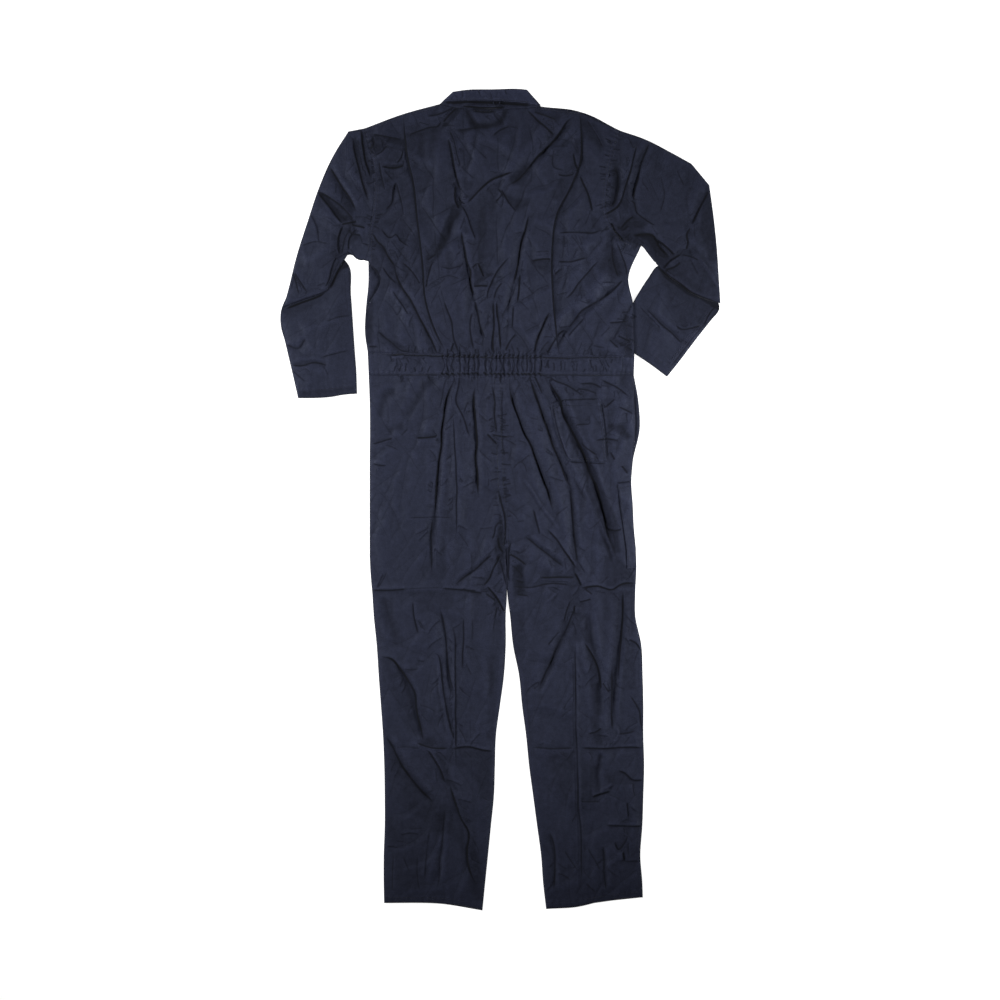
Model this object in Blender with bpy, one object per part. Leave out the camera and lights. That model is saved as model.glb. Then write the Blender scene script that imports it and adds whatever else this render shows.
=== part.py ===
"""A boiler suit, laid flat and face down, cut piece by piece.

Every piece is a thin closed sheet. Its outline and inner guide lines come from a short table with a row
for each section, its height from one shared height of cloth, and neighbours stay a seam gap apart.
Places are given on a lay chart: squares of SQUARE mm, counted right and down, with MIDDLE at the origin.
"""
import bmesh
import bpy
import numpy as np

# Sizes, in mm
SQUARE = 2.1  # one square of the lay chart
MIDDLE = (500.3653, 499.4778)  # chart column and row at the origin
FRONT_CLOTH = 1.6  # hidden front layer, on the ground
BACK_CLOTH = 2.0  # outer layer, measured straight down
GAP = 0.3  # between pieces, across a seam or one on another
BACK_BED = FRONT_CLOTH + GAP  # lowest underside of the outer layer
SLEEVE_STACK = BACK_BED + BACK_CLOTH + GAP  # height of a whole forearm with its gap
PUFF = 5.0  # how far the outer layer swells clear of the edges
PUFF_RUN = 42.0  # distance from the edge over which it swells
FOLD_RUN = 14.0  # folds fade out this near to an edge
LIFT_FLAT = 21.0  # the body lies level this far round the cuff under it
LIFT_RUN = 19.0  # then comes down over this distance
GATHER = 3.2  # height of an elastic gather
LOOP_TAPE_THICK = 1.0  # hanger loop
LEAF_LIFT = 2.45  # collar leaf above the stand
MM = 0.001
FOLD_ENDS = 0.16  # share of a fold's length over which it dies out
FOLD_STEPS = 5  # straight bits between two points of a fold
FOLD_REACH = 6  # a fold is felt this many half widths away
LIP_AT, LIP_SHARE = 1.9, 0.4  # a valley's raised lips: how many half widths out, and their share of its depth
STEP_RUN, STEP_BACK = 0.4, 2.5  # a lapped pleat's edge and its slow way down, in half widths
SOFT_FLOOR = 1.0  # how softly a valley meets the bed


def halves(count):
    """Every one of count spans is cut in two."""
    return [(0.0, 0.5)] * count


def cuts(*numbers):
    """The first span is cut into numbers[0] equal parts, and so on."""
    return [tuple(np.arange(n) / n) for n in numbers]


# --- Section tables: a row for each section, a column for each guide line, (chart column, chart row) ---------
# Back bodice: left side, left pleat, neck end, neck, centre, neck, neck end, right pleat, right side
BODICE = [
    [(365, 129.3), (403.5, 116.2), (440, 105), (456, 109), (492, 110.5), (530, 109), (541, 107.6), (579.5, 112.7),
     (619.9, 131.6)],
    [(367.8, 142), (405.2, 138), (441, 133), (456, 133), (492, 134), (528, 133), (542, 133), (581, 138),
     (615.8, 142.4)],
    [(373.5, 165), (409.2, 165), (443, 163), (458, 163), (494, 163), (526, 163), (545, 163), (580.5, 162), (611, 163)],
    [(375, 190), (414, 190), (445, 189), (461, 188), (496, 188), (524, 188), (545, 188), (570, 190), (606.8, 190)],
    [(373, 215), (417, 215), (445, 214), (463, 214), (497, 214), (522, 214), (540, 214), (557, 215), (606, 213)],
    [(368.5, 240), (420, 240), (446, 240), (464, 240), (496, 240), (521, 240), (538, 240), (553, 240), (618, 236)],
    [(368.7, 262), (422.5, 262), (447, 262), (467, 262), (495, 262), (519, 262), (537, 262), (552, 261), (641, 246)],
    [(380.5, 282), (424.5, 285), (447, 285), (470.5, 285), (494, 285), (516, 285), (535, 285), (552.6, 285),
     (628, 280)],
    [(368.5, 306), (427.5, 307), (450, 308), (475, 308), (493.5, 308), (514, 308), (534, 308), (554, 308),
     (632.5, 304)],
    [(365.3, 332), (435.5, 332), (456, 332), (481, 332), (494, 332), (512, 332), (530, 332), (557, 331), (633, 330)],
    [(368, 352.5), (448, 355.2), (461, 355.65), (484, 356.4), (495, 356.8), (508, 356.8), (526, 356.8),
     (559, 356.8), (634, 356.8)],
]
# Front bodice, left: side, shoulder, neck point, three along the neckline, front edge
FRONT_BODICE_LEFT = [
    [(365, 129.3), (400, 117.2), (440, 105.6), (446.5, 122.5), (456, 135.5), (470.5, 144.8), (487.9, 149.8)],
    [(367.8, 142), (402, 140), (436, 138), (445, 146), (456, 153), (471, 158), (487.9, 162)],
    [(373.5, 165), (404, 165), (434, 165), (445, 169), (457, 173), (472, 176), (487.9, 178)],
    [(375, 190), (404, 190), (434, 190), (445, 192), (457, 194), (472, 195), (487.9, 196)],
    [(373, 215), (404, 215), (434, 215), (445, 216), (457, 216), (472, 217), (487.9, 217)],
    [(368.5, 240), (403, 240), (434, 240), (445, 240), (457, 240), (472, 240), (487.9, 240)],
    [(368.7, 262), (403, 262), (434, 262), (445, 262), (457, 262), (472, 262), (487.9, 262)],
    [(368.6, 285), (403, 285), (434, 285), (445, 285), (457, 285), (472, 285), (487.9, 285)],
    [(366.5, 306), (403, 307), (434, 308), (445, 308), (457, 308), (472, 308), (487.9, 308)],
    [(365.3, 332), (403, 332), (434, 332), (445, 332), (457, 332), (472, 332), (487.9, 332)],
    [(368, 352.5), (403, 353.1), (434, 353.6), (445, 353.8), (457, 354), (472, 354.2), (487.9, 354.5)],
]
# Front bodice, right: front edge, three along the neckline, neck point; then the back bodice's last two guides
FRONT_BODICE_RIGHT = [
    [(512.1, 149.8), (527, 145), (538, 134), (541, 120), (541, 108.2)],
    [(512.1, 162), (526, 158), (538, 152), (546, 144), (552, 138)],
    [(512.1, 178), (525, 176), (537, 172), (546, 168), (553, 165)],
    [(512.1, 196), (524, 195), (534, 193), (542, 192), (549, 191)],
    [(512.1, 217), (522, 217), (531, 216), (538, 215), (544, 215)],
    [(512.1, 240), (522, 240), (531, 240), (537, 240), (543, 240)],
    [(512.1, 262), (521, 262), (530, 262), (536, 262), (542, 262)],
    [(512.1, 285), (521, 285), (530, 285), (536, 285), (542, 285)],
    [(512.1, 308), (521, 308), (530, 308), (536, 308), (543, 308)],
    [(512.1, 332), (521, 332), (530, 332), (536, 332), (544, 332)],
    [(512.1, 356.8), (521, 356.8), (530, 356.8), (536, 356.8), (544, 356.8)],
]
# Back leg, left: side seam, long crease, inner crease, seat seam and inside leg
LEG_LEFT = [
    [(369, 375.4), (456, 375.4), (478, 375.4), (496, 375.4)],
    [(370, 402), (447, 402), (474, 402), (495.5, 402)],
    [(370.3, 430), (442, 430), (476.5, 430), (497, 430)],
    [(370, 462), (439, 462), (477, 462), (498, 462)],
    [(370, 484), (436.6, 484), (478, 484), (498.8, 484)],
    [(370, 508), (435.5, 508), (479, 508), (501, 506)],
    [(370, 532), (432, 531), (479, 530), (505.3, 528)],
    [(370, 556), (432, 555), (478, 553), (506, 549)],
    [(371, 575), (432.5, 575), (474, 574), (506.5, 569)],
    [(372.5, 592), (436, 592), (470, 592), (506.1, 590)],
    [(374, 615), (442, 615), (466, 615), (505.8, 615)],
    [(377, 645), (446.7, 645), (463.5, 645), (505.8, 645)],
    [(379, 675), (450, 675), (464, 675), (504, 675)],
    [(381.2, 705), (455, 705), (470, 705), (500, 705)],
    [(383.3, 735), (456, 735), (472, 735), (496, 735)],
    [(384.5, 765), (456.7, 765), (473, 765), (495, 765)],
    [(385, 795), (454, 795), (472, 795), (494, 795)],
    [(385, 825), (448, 825), (468, 825), (491, 825)],
    [(384, 855), (443, 855), (467, 855), (488, 855)],
    [(384, 882), (440, 882), (470, 883), (485, 884)],
    [(384.4, 902), (438, 902.5), (466, 905.8), (482.5, 909.5)],
]
# Back leg, right: seat seam and inside leg, inner crease, pocket edge, long crease, pocket edge, side seam
LEG_RIGHT = [
    [(496, 375.4), (508, 375.4), (535, 375.4), (543, 375.4), (600, 375.4), (633.5, 375.4)],
    [(495.5, 402), (513, 403), (549, 403.5), (558.5, 401.5), (600, 399.5), (634, 400)],
    [(497, 430), (523, 430), (555.5, 431), (571, 430), (604, 430), (635, 429)],
    [(498, 462), (537, 462), (567, 461.4), (586.5, 462), (607, 462.4), (632.5, 462)],
    [(498.8, 484), (545, 484), (574, 484), (594.8, 484), (617, 484), (631, 482)],
    [(501, 506), (552, 508), (580, 507), (601.5, 506), (619.6, 506), (632.5, 505)],
    [(505.3, 528), (557, 530), (586, 529), (607, 528), (622.8, 527), (633.5, 527)],
    [(506, 549), (563, 550), (592, 550), (613.5, 549), (625.8, 548), (635.5, 548)],
    [(506.6, 569), (568, 570), (595, 570), (617.5, 570), (626.7, 569), (636, 569)],
    [(507.3, 590), (573, 592), (597, 592), (621, 592), (628.5, 592), (635, 592)],
    [(510, 615), (574, 615), (597, 615), (621.8, 615), (629, 615), (635, 615)],
    [(513, 645), (573.7, 645), (597, 645), (620, 645), (631, 645), (641, 645)],
    [(519, 675), (573.7, 675), (595, 675), (616.5, 675), (630, 675), (642.3, 675)],
    [(522, 705), (574.2, 705), (593, 705), (612, 705), (628, 705), (643, 705)],
    [(526, 735), (575, 735), (594, 735), (613, 735), (628, 735), (643, 735)],
    [(529, 765), (576, 765), (595, 765), (613, 765), (629, 765), (643.8, 765)],
    [(533, 795), (577, 795), (595, 795), (612, 795), (628, 795), (643, 795)],
    [(537, 825), (579, 825), (595, 825), (611, 825), (627, 825), (642, 825)],
    [(541, 855), (579.6, 855), (595, 855), (610, 855), (626, 855), (640, 855)],
    [(543, 882), (580, 882), (594, 882), (608, 882), (625, 882), (642, 882)],
    [(546, 908), (582, 905), (594, 902), (607, 900.2), (625, 897.4), (642.5, 896.4)],
]
UNDERARM_ROW = 6  # section of the bodice at the underarm
FORK_ROW = 7  # section of the legs at the fork
FLY_END_ROW = 5  # the placket ends just below this section
LEG_RIGHT_COLUMNS = (5, 3, 3, 3, 3)  # net columns between its guides
POCKET_ROWS, POCKET_GUIDES = (1, 3), (2, 4)  # the hip pocket fills this block of the right leg
RULE_ROWS, RULE_GUIDES = (4, 8), (4, 5)  # and the rule pocket this one
# Sleeves, from the armhole (first row) to the fold at the elbow: seven guides from shoulder to underarm
SLEEVE_LEFT = [
    [(365, 129.3), (367.8, 142), (373.5, 165), (375, 190), (373, 215), (368.5, 240), (368.7, 262)],
    [(348, 134.5), (352, 148), (357, 170), (361, 193), (362, 216), (362, 238), (364.3, 260.8)],
    [(334, 156), (338, 168), (345, 185), (350, 204), (354, 222), (357, 240), (360, 260.8)],
    [(320, 187), (326, 196), (334, 208), (341, 221), (347, 233), (352, 245), (356, 258.8)],
    [(308.5, 221), (315, 226), (325, 233), (334, 241), (341, 248), (347, 253), (352.5, 255.5)],
    [(297, 257.5), (304, 261), (314, 262), (325, 262.5), (333, 262), (340, 259), (350, 254.3)],
    [(288.6, 291.5), (297, 288.5), (307, 284.5), (318.5, 277), (327, 269.5), (334, 262.5), (348.6, 253.4)],
    [(284, 308), (293, 305), (306, 299.5), (322, 293), (330, 288), (338, 270.5), (348.6, 254.6)],
]
SLEEVE_RIGHT = [
    [(619.9, 131.6), (615.8, 142.4), (611, 163), (606.8, 190), (606, 213), (618, 236), (641, 246)],
    [(645, 140.3), (643, 152), (636, 170), (630, 193), (627, 213), (632, 231), (643, 248)],
    [(670, 153), (666, 166), (658, 182), (651, 200), (646, 216), (644, 232), (646, 252)],
    [(697, 169.5), (690, 182), (680, 197), (669, 212), (661, 225), (654, 238), (648.5, 255.3)],
    [(710.7, 187), (702, 200), (692, 213), (679, 226), (668, 236), (659, 246), (651, 258.5)],
    [(712.3, 217), (704, 226), (694, 235), (681, 243), (670, 249), (661.5, 254), (652.4, 260.3)],
    [(716, 246), (708, 252), (696, 257), (684, 261), (674, 261), (664, 259), (653.6, 261.8)],
    [(718.7, 287), (709, 285.5), (699, 280.5), (688, 274.5), (679, 267.5), (668.5, 260.5), (654.8, 262.8)],
    [(719.8, 304), (709, 301.5), (699, 298), (689, 293), (679, 285.5), (668, 277), (655.8, 264.8)],
]
# How far each row of the sleeve is raised to pass over the forearm, mm
SLEEVE_LIFT_LEFT = (0, 0, 0, 0.1, 0.6, 1.5, 2.35, 2.35)
SLEEVE_LIFT_RIGHT = (0, 0, 0, 0, 0.2, 0.8, 1.6, 2.35, 2.35)
# Forearms, from just inside the elbow fold to the cuff: five guides from the outer edge to the inner one
FOREARM_LEFT = [
    [(287.5, 296), (307, 289), (321, 280), (332, 267.5), (343.5, 258.5)],
    [(281.4, 312.5), (301, 305.5), (321, 297.5), (338, 281), (349.2, 266)],
    [(281.2, 325), (300, 322), (320, 315), (338, 305), (351.2, 293)],
    [(285.5, 342), (303, 341), (321, 337), (338, 331), (353.2, 322)],
    [(289.5, 359), (305, 359.5), (322, 357.5), (339, 354), (355, 349)],
    [(293.9, 377.7), (308, 378.5), (324, 377.5), (340, 375), (356.7, 372)],
    [(298.2, 396), (313, 396), (331.8, 395), (343, 392.8), (356.6, 391.8)],
]
FOREARM_RIGHT = [
    [(714, 295), (701, 288.8), (689, 281.5), (677, 272.5), (664.5, 264)],
    [(718.8, 308.5), (703, 302), (688, 294.5), (672, 281.5), (655.8, 267.5)],
    [(709, 322.5), (694, 311), (679, 300.5), (664, 289.5), (648.5, 277.5)],
    [(697.6, 337), (683, 325), (668, 313.5), (654, 302.5), (640, 290.3)],
    [(687, 351), (672.5, 339.5), (658, 328.5), (644.5, 318), (631, 306)],
    [(677.5, 363.5), (663.5, 352.5), (649, 342), (635.5, 332), (622.5, 322)],
    [(667.8, 374.5), (652, 363), (634.7, 351.2), (624, 344.7), (614, 338)],
]
# Share of its own fullness that each forearm row takes: none where the elbow fold or the body lies on it
FOREARM_RISE = (0, 0, 0.8, 1, 1, 1, 1)
TUCK_EDGE, TUCK_RUN = 642.0, 14.0  # the right forearm is level left of this chart column, full after the run
# The body climbs over the forearm and cuff tucked under it: corners in order round it
TUCKED = [(656, 266), (631, 306), (614, 338), (634.7, 351.2), (667.8, 374.5), (719, 308)]
# Waistband of the back: the elastic gathers lie between these chart columns
GATHERS = (443, 448, 454, 460, 465, 469, 474, 478, 486, 492, 496, 500, 504, 509, 513, 518, 523, 526.5, 530, 535, 540.5)
BAND_TOP = [(368, 352.5), (443, 355.05), (495, 356.8), (540.5, 356.8), (634, 356.8)]
BAND_FOOT = [(369, 375.4), (443, 375.4), (495, 375.4), (540.5, 375.4), (633.5, 375.4)]
# Collar: left end, four guides, right end; stand below the leaf, with its upper edge hidden
LEAF = [
    [(453, 93), (464, 90.4), (495, 89.7), (519, 89.9), (526.8, 90.7)],
    [(443, 102.2), (457, 102.2), (494, 102.2), (524, 104.4), (540.7, 106.6)],
]
STAND = [
    [(449, 96.5), (460, 95), (493, 95), (522, 95), (530, 97.5)],
    [(440, 105), (456, 109), (492, 110.5), (530, 109), (541, 107.6)],
]
COLLAR_FRONT_LEFT = [
    [(440, 105.6), (453.5, 96)],
    [(446.5, 122.5), (461.5, 111)],
    [(456, 135.5), (468, 122)],
    [(470.5, 144.8), (478, 131)],
    [(487.9, 149.8), (489, 135)],
]
COLLAR_FRONT_RIGHT = [
    [(511, 135), (512.1, 149.8)],
    [(520, 131.5), (527, 145)],
    [(526, 123.5), (538, 134)],
    [(528, 111), (541, 120)],
    [(527, 96), (541, 108.2)],
]
FLY_EDGES = (487.9, 512.1)  # left and right edge of the placket, chart columns
PLACKET_ROWS = (150, 196, 262, 332, 355, 375.4, 430, 484, 506)
PLACKET_POINT = [(502.4, 524), (506.3, 524)]
OPENING_RIGHT = {1: (638.0, 400.5), 2: (639.5, 428.0)}  # the front edge of the right side opening, by leg section
LOOP_PLACE, LOOP_REACH, LOOP_DROP, LOOP_TAPE = (496.6, 103.6), 3.4, 3.6, 1.5  # hanger loop, squares

# Main folds: kind, half width mm, height mm, then the chart places it runs through
FOLDS = [
    ("left_step", 20, 2.4, (403.5, 112), (405, 134.5), (409.3, 166), (413, 181), (417.4, 219), (423.6, 273.6),
     (425, 296.5), (434.6, 330), (449, 358)),
    ("right_step", 20, 2.4, (579.4, 109), (581, 138), (580.5, 162), (570, 190), (557, 215), (552, 249),
     (552.6, 296), (559, 360)),
    ("valley", 9, 3, (372.4, 233), (383.4, 247.7), (396, 269), (403, 289), (411.7, 302), (427, 333), (440.4, 360)),
    ("valley", 8, 3, (461.4, 232), (467, 266), (470, 281), (476, 306), (481.5, 331), (486, 352)),
    ("ridge", 12, 3, (452, 236), (457, 270), (462, 300), (468, 345)),
    ("valley", 10, 4, (576.5, 118), (553.6, 143), (528.7, 169), (505.7, 189)),
    ("ridge", 14, 3, (556, 118), (540, 135), (520, 158), (500, 176)),
    ("valley", 9, 3, (527.7, 220), (521, 241), (518, 266), (512.4, 287), (505, 353)),
    ("ridge", 12, 3, (510, 240), (506, 280), (502, 335)),
    ("valley", 9, 3.5, (623.4, 280), (595.7, 303), (574.6, 321), (567, 330), (552, 356)),
    ("ridge", 14, 4, (612, 262), (590, 292), (566, 312), (545, 345)),
    ("valley", 7, 2.5, (550, 312), (537.3, 340), (533.5, 356)),
    ("valley", 8, 2.5, (448, 137), (455.7, 175.7), (460.4, 190), (459.5, 211)),
    ("ridge", 15, 3, (440, 200), (437, 240), (448, 290), (460, 335)),
    ("valley", 7, 2, (384, 168), (396, 169), (405, 167)),
    ("valley", 8, 2.5, (396, 183), (392.5, 203), (385.8, 212)),
    ("valley", 8, 3, (611, 228), (613, 258), (618.6, 279)),
    ("ridge", 10, 2.5, (556, 248), (575, 247), (600, 243)),
    ("valley", 7, 2.5, (377, 330), (393.5, 344), (411.7, 352.5)),
    ("valley", 8, 3, (329.4, 166), (343, 189), (357, 213.8)),
    ("valley", 10, 4, (318, 192), (334, 210), (350, 224)),
    ("valley", 7, 2.5, (354.8, 136), (359, 168), (369, 203)),
    ("ridge", 14, 3, (300, 262), (318, 256), (340, 240)),
    ("valley", 7, 2, (286, 345), (299, 348), (307, 338.7)),
    ("valley", 7, 2, (291.7, 366), (313.4, 363), (328.5, 365.8)),
    ("ridge", 12, 2.5, (300, 330), (325, 325), (345, 318)),
    ("valley", 8, 3.5, (615, 165.6), (619, 178), (616, 195), (610.8, 210.4)),
    ("valley", 8, 2.5, (649, 142), (641.5, 164), (633, 196), (636.5, 218)),
    ("ridge", 11, 3, (636.5, 144), (629, 176), (620, 205)),
    ("valley", 8, 3, (707.8, 192), (699.5, 208), (690.4, 227)),
    ("ridge", 10, 3.5, (690, 251), (707.3, 272), (716, 284)),
    ("valley", 8, 3, (631, 236), (652, 236), (663, 254)),
    ("valley", 8, 2.5, (650, 312), (665, 327), (683.5, 344.7)),
    ("valley", 9, 4, (457, 376), (446, 404), (441.7, 432), (438.6, 465), (435.6, 508), (431.7, 554), (432, 573)),
    ("valley", 9, 4, (476, 384), (474, 402.5), (476.5, 430), (477.4, 474), (478.6, 499)),
    ("ridge", 14, 5, (453.3, 413), (455, 447), (457, 489), (456.5, 540)),
    ("ridge", 12, 3, (488, 400), (489, 450), (491, 500)),
    ("ridge", 8, 2, (373, 588.5), (415, 588), (451, 588.5)),
    ("valley", 8, 3, (454, 586), (473, 571), (494, 553)),
    ("valley", 9, 3.5, (439.6, 608), (446.7, 641), (449.8, 678), (454, 700)),
    ("ridge", 8, 3, (455, 618), (456, 692), (456.5, 769)),
    ("valley", 13, 4, (394.7, 663), (407, 685), (416, 717), (423, 742)),
    ("valley", 11, 3.5, (385.5, 734), (403.6, 766), (424, 792), (435, 802)),
    ("ridge", 9, 3.5, (450, 780), (462, 819), (468, 845), (475, 885)),
    ("valley", 8, 2.5, (445, 806), (440.5, 864), (438, 889)),
    ("valley", 8, 4, (509, 381), (519.6, 421), (534, 455), (547, 490), (554, 514)),
    ("valley", 8, 3.5, (524.7, 375), (539, 406), (553, 447), (568.6, 484), (573, 526), (577.8, 567)),
    ("valley", 11, 6, (541, 370), (558.5, 401), (571, 430), (586, 462), (595, 485), (603, 513), (612.5, 545.5)),
    ("ridge", 9, 3.5, (534, 380), (552, 420), (570, 462), (585, 494), (597, 521), (611, 551)),
    ("ridge", 10, 3.5, (516, 390), (530, 425), (547, 468), (560, 505), (566, 540)),
    ("valley", 8, 3, (523.7, 535), (541, 548.6), (564.5, 568)),
    ("valley", 9, 4, (571, 618), (557, 647), (544, 678), (535.7, 694)),
    ("ridge", 7, 3, (575, 629), (575, 692), (577, 746), (580, 810), (581, 890)),
    ("valley", 8, 4.5, (620.6, 587), (622, 615), (619, 650), (614, 690), (612, 732)),
    ("valley", 10, 3, (588, 612), (592, 644), (599, 673), (600, 717)),
    ("valley", 8, 2.5, (600, 750), (597, 775), (600, 800)),
    ("valley", 8, 2.5, (548.7, 829), (554.7, 869), (553.6, 889)),
    ("valley", 8, 2.5, (603, 844), (605, 866), (606.7, 889)),
]


# --- The net of a piece ----------------------------------------------------------------------------------------
def through(points, corners, steps):
    """A smooth line through the points, sharp at the corners; span i is cut at the fractions in steps[i]."""
    points = np.asarray(points, float)
    spans = points[1:] - points[:-1]
    lengths = np.linalg.norm(spans, axis=1, keepdims=True) + 1e-9
    slopes = spans / lengths
    last = len(spans)

    def slope(at, span):
        if at in corners or at in (0, last):
            return slopes[span]
        before, after = lengths[at - 1], lengths[at]
        return (slopes[at - 1] * after + slopes[at] * before) / (before + after)

    line = []
    for i in range(last):
        start, end = slope(i, i) * lengths[i], slope(i + 1, i) * lengths[i]
        for t in steps[i]:
            line.append(
                (2 * t**3 - 3 * t**2 + 1) * points[i]
                + (t**3 - 2 * t**2 + t) * start
                + (3 * t**2 - 2 * t**3) * points[i + 1]
                + (t**3 - t**2) * end
            )
    return np.array(line + [points[-1]])


def net(table, row_steps, guide_steps, corner_rows=(), corner_guides=()):
    """The table's sections and guides, filled in to a net of chart places."""
    table = np.array(table, float)
    guides = [through(table[:, g], corner_rows, row_steps) for g in range(table.shape[1])]
    return np.array([through(row, corner_guides, guide_steps) for row in np.stack(guides, axis=1)])


def drawn_in(places, by):
    """The net with all four edges moved inward by this much, in squares."""
    out = places.copy()
    for flip in (False, True):
        work = out.transpose(1, 0, 2) if flip else out
        source = places.transpose(1, 0, 2) if flip else places
        for edge, inner in ((0, 1), (-1, -2)):
            along = np.gradient(source[:, edge], axis=0)
            along /= np.linalg.norm(along, axis=1, keepdims=True) + 1e-12
            side = np.stack([-along[:, 1], along[:, 0]], axis=1)
            toward = source[:, inner] - source[:, edge]
            side *= np.sign((side * toward).sum())
            work[:, edge] += side * by
    return out


def to_mm(places):
    places = np.asarray(places, float)
    return np.stack([(places[..., 0] - MIDDLE[0]) * SQUARE, (MIDDLE[1] - places[..., 1]) * SQUARE], axis=-1)


# --- Heights ------------------------------------------------------------------------------------------------------
def nearest(spots, line):
    """Distance from each spot to a line of points, signed by side, and how far along it, from 0 to 1."""
    start, span = line[:-1], line[1:] - line[:-1]
    squared = (span**2).sum(axis=1) + 1e-12
    offset = spots[:, None] - start[None]
    t = np.clip((offset * span).sum(axis=2) / squared, 0, 1)
    away = offset - t[..., None] * span
    distance = np.hypot(away[..., 0], away[..., 1])
    which = distance.argmin(axis=1)
    rows = np.arange(len(spots))
    lengths = np.sqrt(squared)
    begun = np.concatenate([[0], np.cumsum(lengths)[:-1]])
    along = (begun[which] + t[rows, which] * lengths[which]) / lengths.sum()
    side = np.sign(span[which, 0] * offset[rows, which, 1] - span[which, 1] * offset[rows, which, 0])
    return distance[rows, which] * side, along


def smooth_step(t):
    t = np.clip(t, 0, 1)
    return t * t * (3 - 2 * t)


def fold(kind, width, height, across, along):
    """The height of one fold at a signed distance from its line."""
    size = height * smooth_step(along / FOLD_ENDS) * smooth_step((1 - along) / FOLD_ENDS)
    bump = np.exp(-((across / width) ** 2))
    if kind == "ridge":
        return size * bump
    if kind == "valley":
        lips = np.exp(-((np.abs(across) / width - LIP_AT) ** 2))
        return size * (LIP_SHARE * lips - bump)
    high_side = across if kind == "left_step" else -across
    back_down = np.exp(-np.maximum(high_side, 0) / (STEP_BACK * width))
    return size * smooth_step(0.5 + high_side / (STEP_RUN * width)) * back_down


def outside(spots, corners):
    """Distance outside a ring of corners, and 0 inside it."""
    ring = to_mm(corners + corners[:1])
    across, _ = nearest(spots, ring)
    turn = np.sign(np.cross(ring[1] - ring[0], ring[2] - ring[1]))
    sides = np.cross((ring[1:] - ring[:-1])[None], spots[:, None] - ring[None, :-1])
    return np.where((sides * turn >= 0).all(axis=1), 0, np.abs(across))


class Cloth:
    """The shared heights of the suit: level at the rim, swollen and folded inside it."""

    def __init__(self, rims):
        self.rims = [to_mm(rim) for rim in rims]

    def top(self, spots, fullness=1.0):
        """Height of the outer layer's face over what it lies on, mm."""
        flat = spots.reshape(-1, 2)
        rim = np.min([np.abs(nearest(flat, line)[0]) for line in self.rims], axis=0)
        swell = PUFF * (1 - np.exp(-rim / PUFF_RUN))
        folds = np.zeros(len(flat))
        for kind, width, height, *places in FOLDS:
            line = through(to_mm(places), (), [tuple(np.arange(FOLD_STEPS) / FOLD_STEPS)] * (len(places) - 1))
            reach = FOLD_REACH * width
            near = ((flat > line.min(axis=0) - reach) & (flat < line.max(axis=0) + reach)).all(axis=1)
            across, along = nearest(flat[near], line)
            folds[near] += fold(kind, width, height, across, along)
        rise = swell + folds * (1 - np.exp(-rim / FOLD_RUN))
        rise = np.maximum(rise + np.hypot(rise, SOFT_FLOOR) - SOFT_FLOOR, 0).reshape(spots.shape[:-1]) / 2
        return BACK_BED + BACK_CLOTH + rise * fullness


def body_lift(spots):
    """How far the body climbs over the cuff tucked under it."""
    away = outside(spots.reshape(-1, 2), TUCKED).reshape(spots.shape[:-1])
    return SLEEVE_STACK * smooth_step(1 - (away - LIFT_FLAT) / LIFT_RUN)


# --- Making the solids ---------------------------------------------------------------------------------------------
def cloth_material(name, color, roughness):
    material = bpy.data.materials.new(name)
    material.use_nodes = True
    shader = material.node_tree.nodes["Principled BSDF"]
    shader.inputs["Base Color"].default_value = (*color, 1)
    shader.inputs["Roughness"].default_value = roughness
    shader.inputs["Metallic"].default_value = 0
    return material


def sheet(name, spots, upper, lower, material):
    """A closed sheet: a flat grid laid on the net, cut in triangles, doubled by an extrusion, then raised."""
    rows, columns = spots.shape[:2]
    mesh = bpy.data.meshes.new(name)
    bm = bmesh.new()
    bmesh.ops.create_grid(bm, x_segments=columns - 1, y_segments=rows - 1, size=1)
    number = bm.verts.layers.int.new("net")
    for vert in bm.verts:
        column = round((vert.co.x + 1) / 2 * (columns - 1))
        row = round((1 - vert.co.y) / 2 * (rows - 1))
        vert[number] = row * columns + column
    flat = spots.reshape(-1, 2) * MM
    for vert in bm.verts:
        vert.co = (*flat[vert[number]], 0)
    bmesh.ops.triangulate(bm, faces=bm.faces[:], quad_method="SHORT_EDGE")
    tops = set(bm.verts)
    bmesh.ops.extrude_face_region(bm, geom=bm.faces[:], use_keep_orig=True)
    upper, lower = upper.reshape(-1) * MM, lower.reshape(-1) * MM
    for vert in bm.verts:
        vert.co.z = (upper if vert in tops else lower)[vert[number]]
    bmesh.ops.recalc_face_normals(bm, faces=bm.faces[:])
    bm.verts.layers.int.remove(number)
    bm.to_mesh(mesh)
    bm.free()
    mesh.materials.append(material)
    piece = bpy.data.objects.new(name, mesh)
    suit.objects.link(piece)
    piece.parent = lay
    return piece


for old in list(bpy.data.objects):
    bpy.data.objects.remove(old, do_unlink=True)
suit = bpy.data.collections.new("boiler_suit")
bpy.context.scene.collection.children.link(suit)
lay = bpy.data.objects.new("lay", None)
suit.objects.link(lay)

NAVY, ROUGH = (0.021, 0.024, 0.039), 0.85
SEAM = GAP / 2 / SQUARE  # half a seam gap, squares

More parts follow.
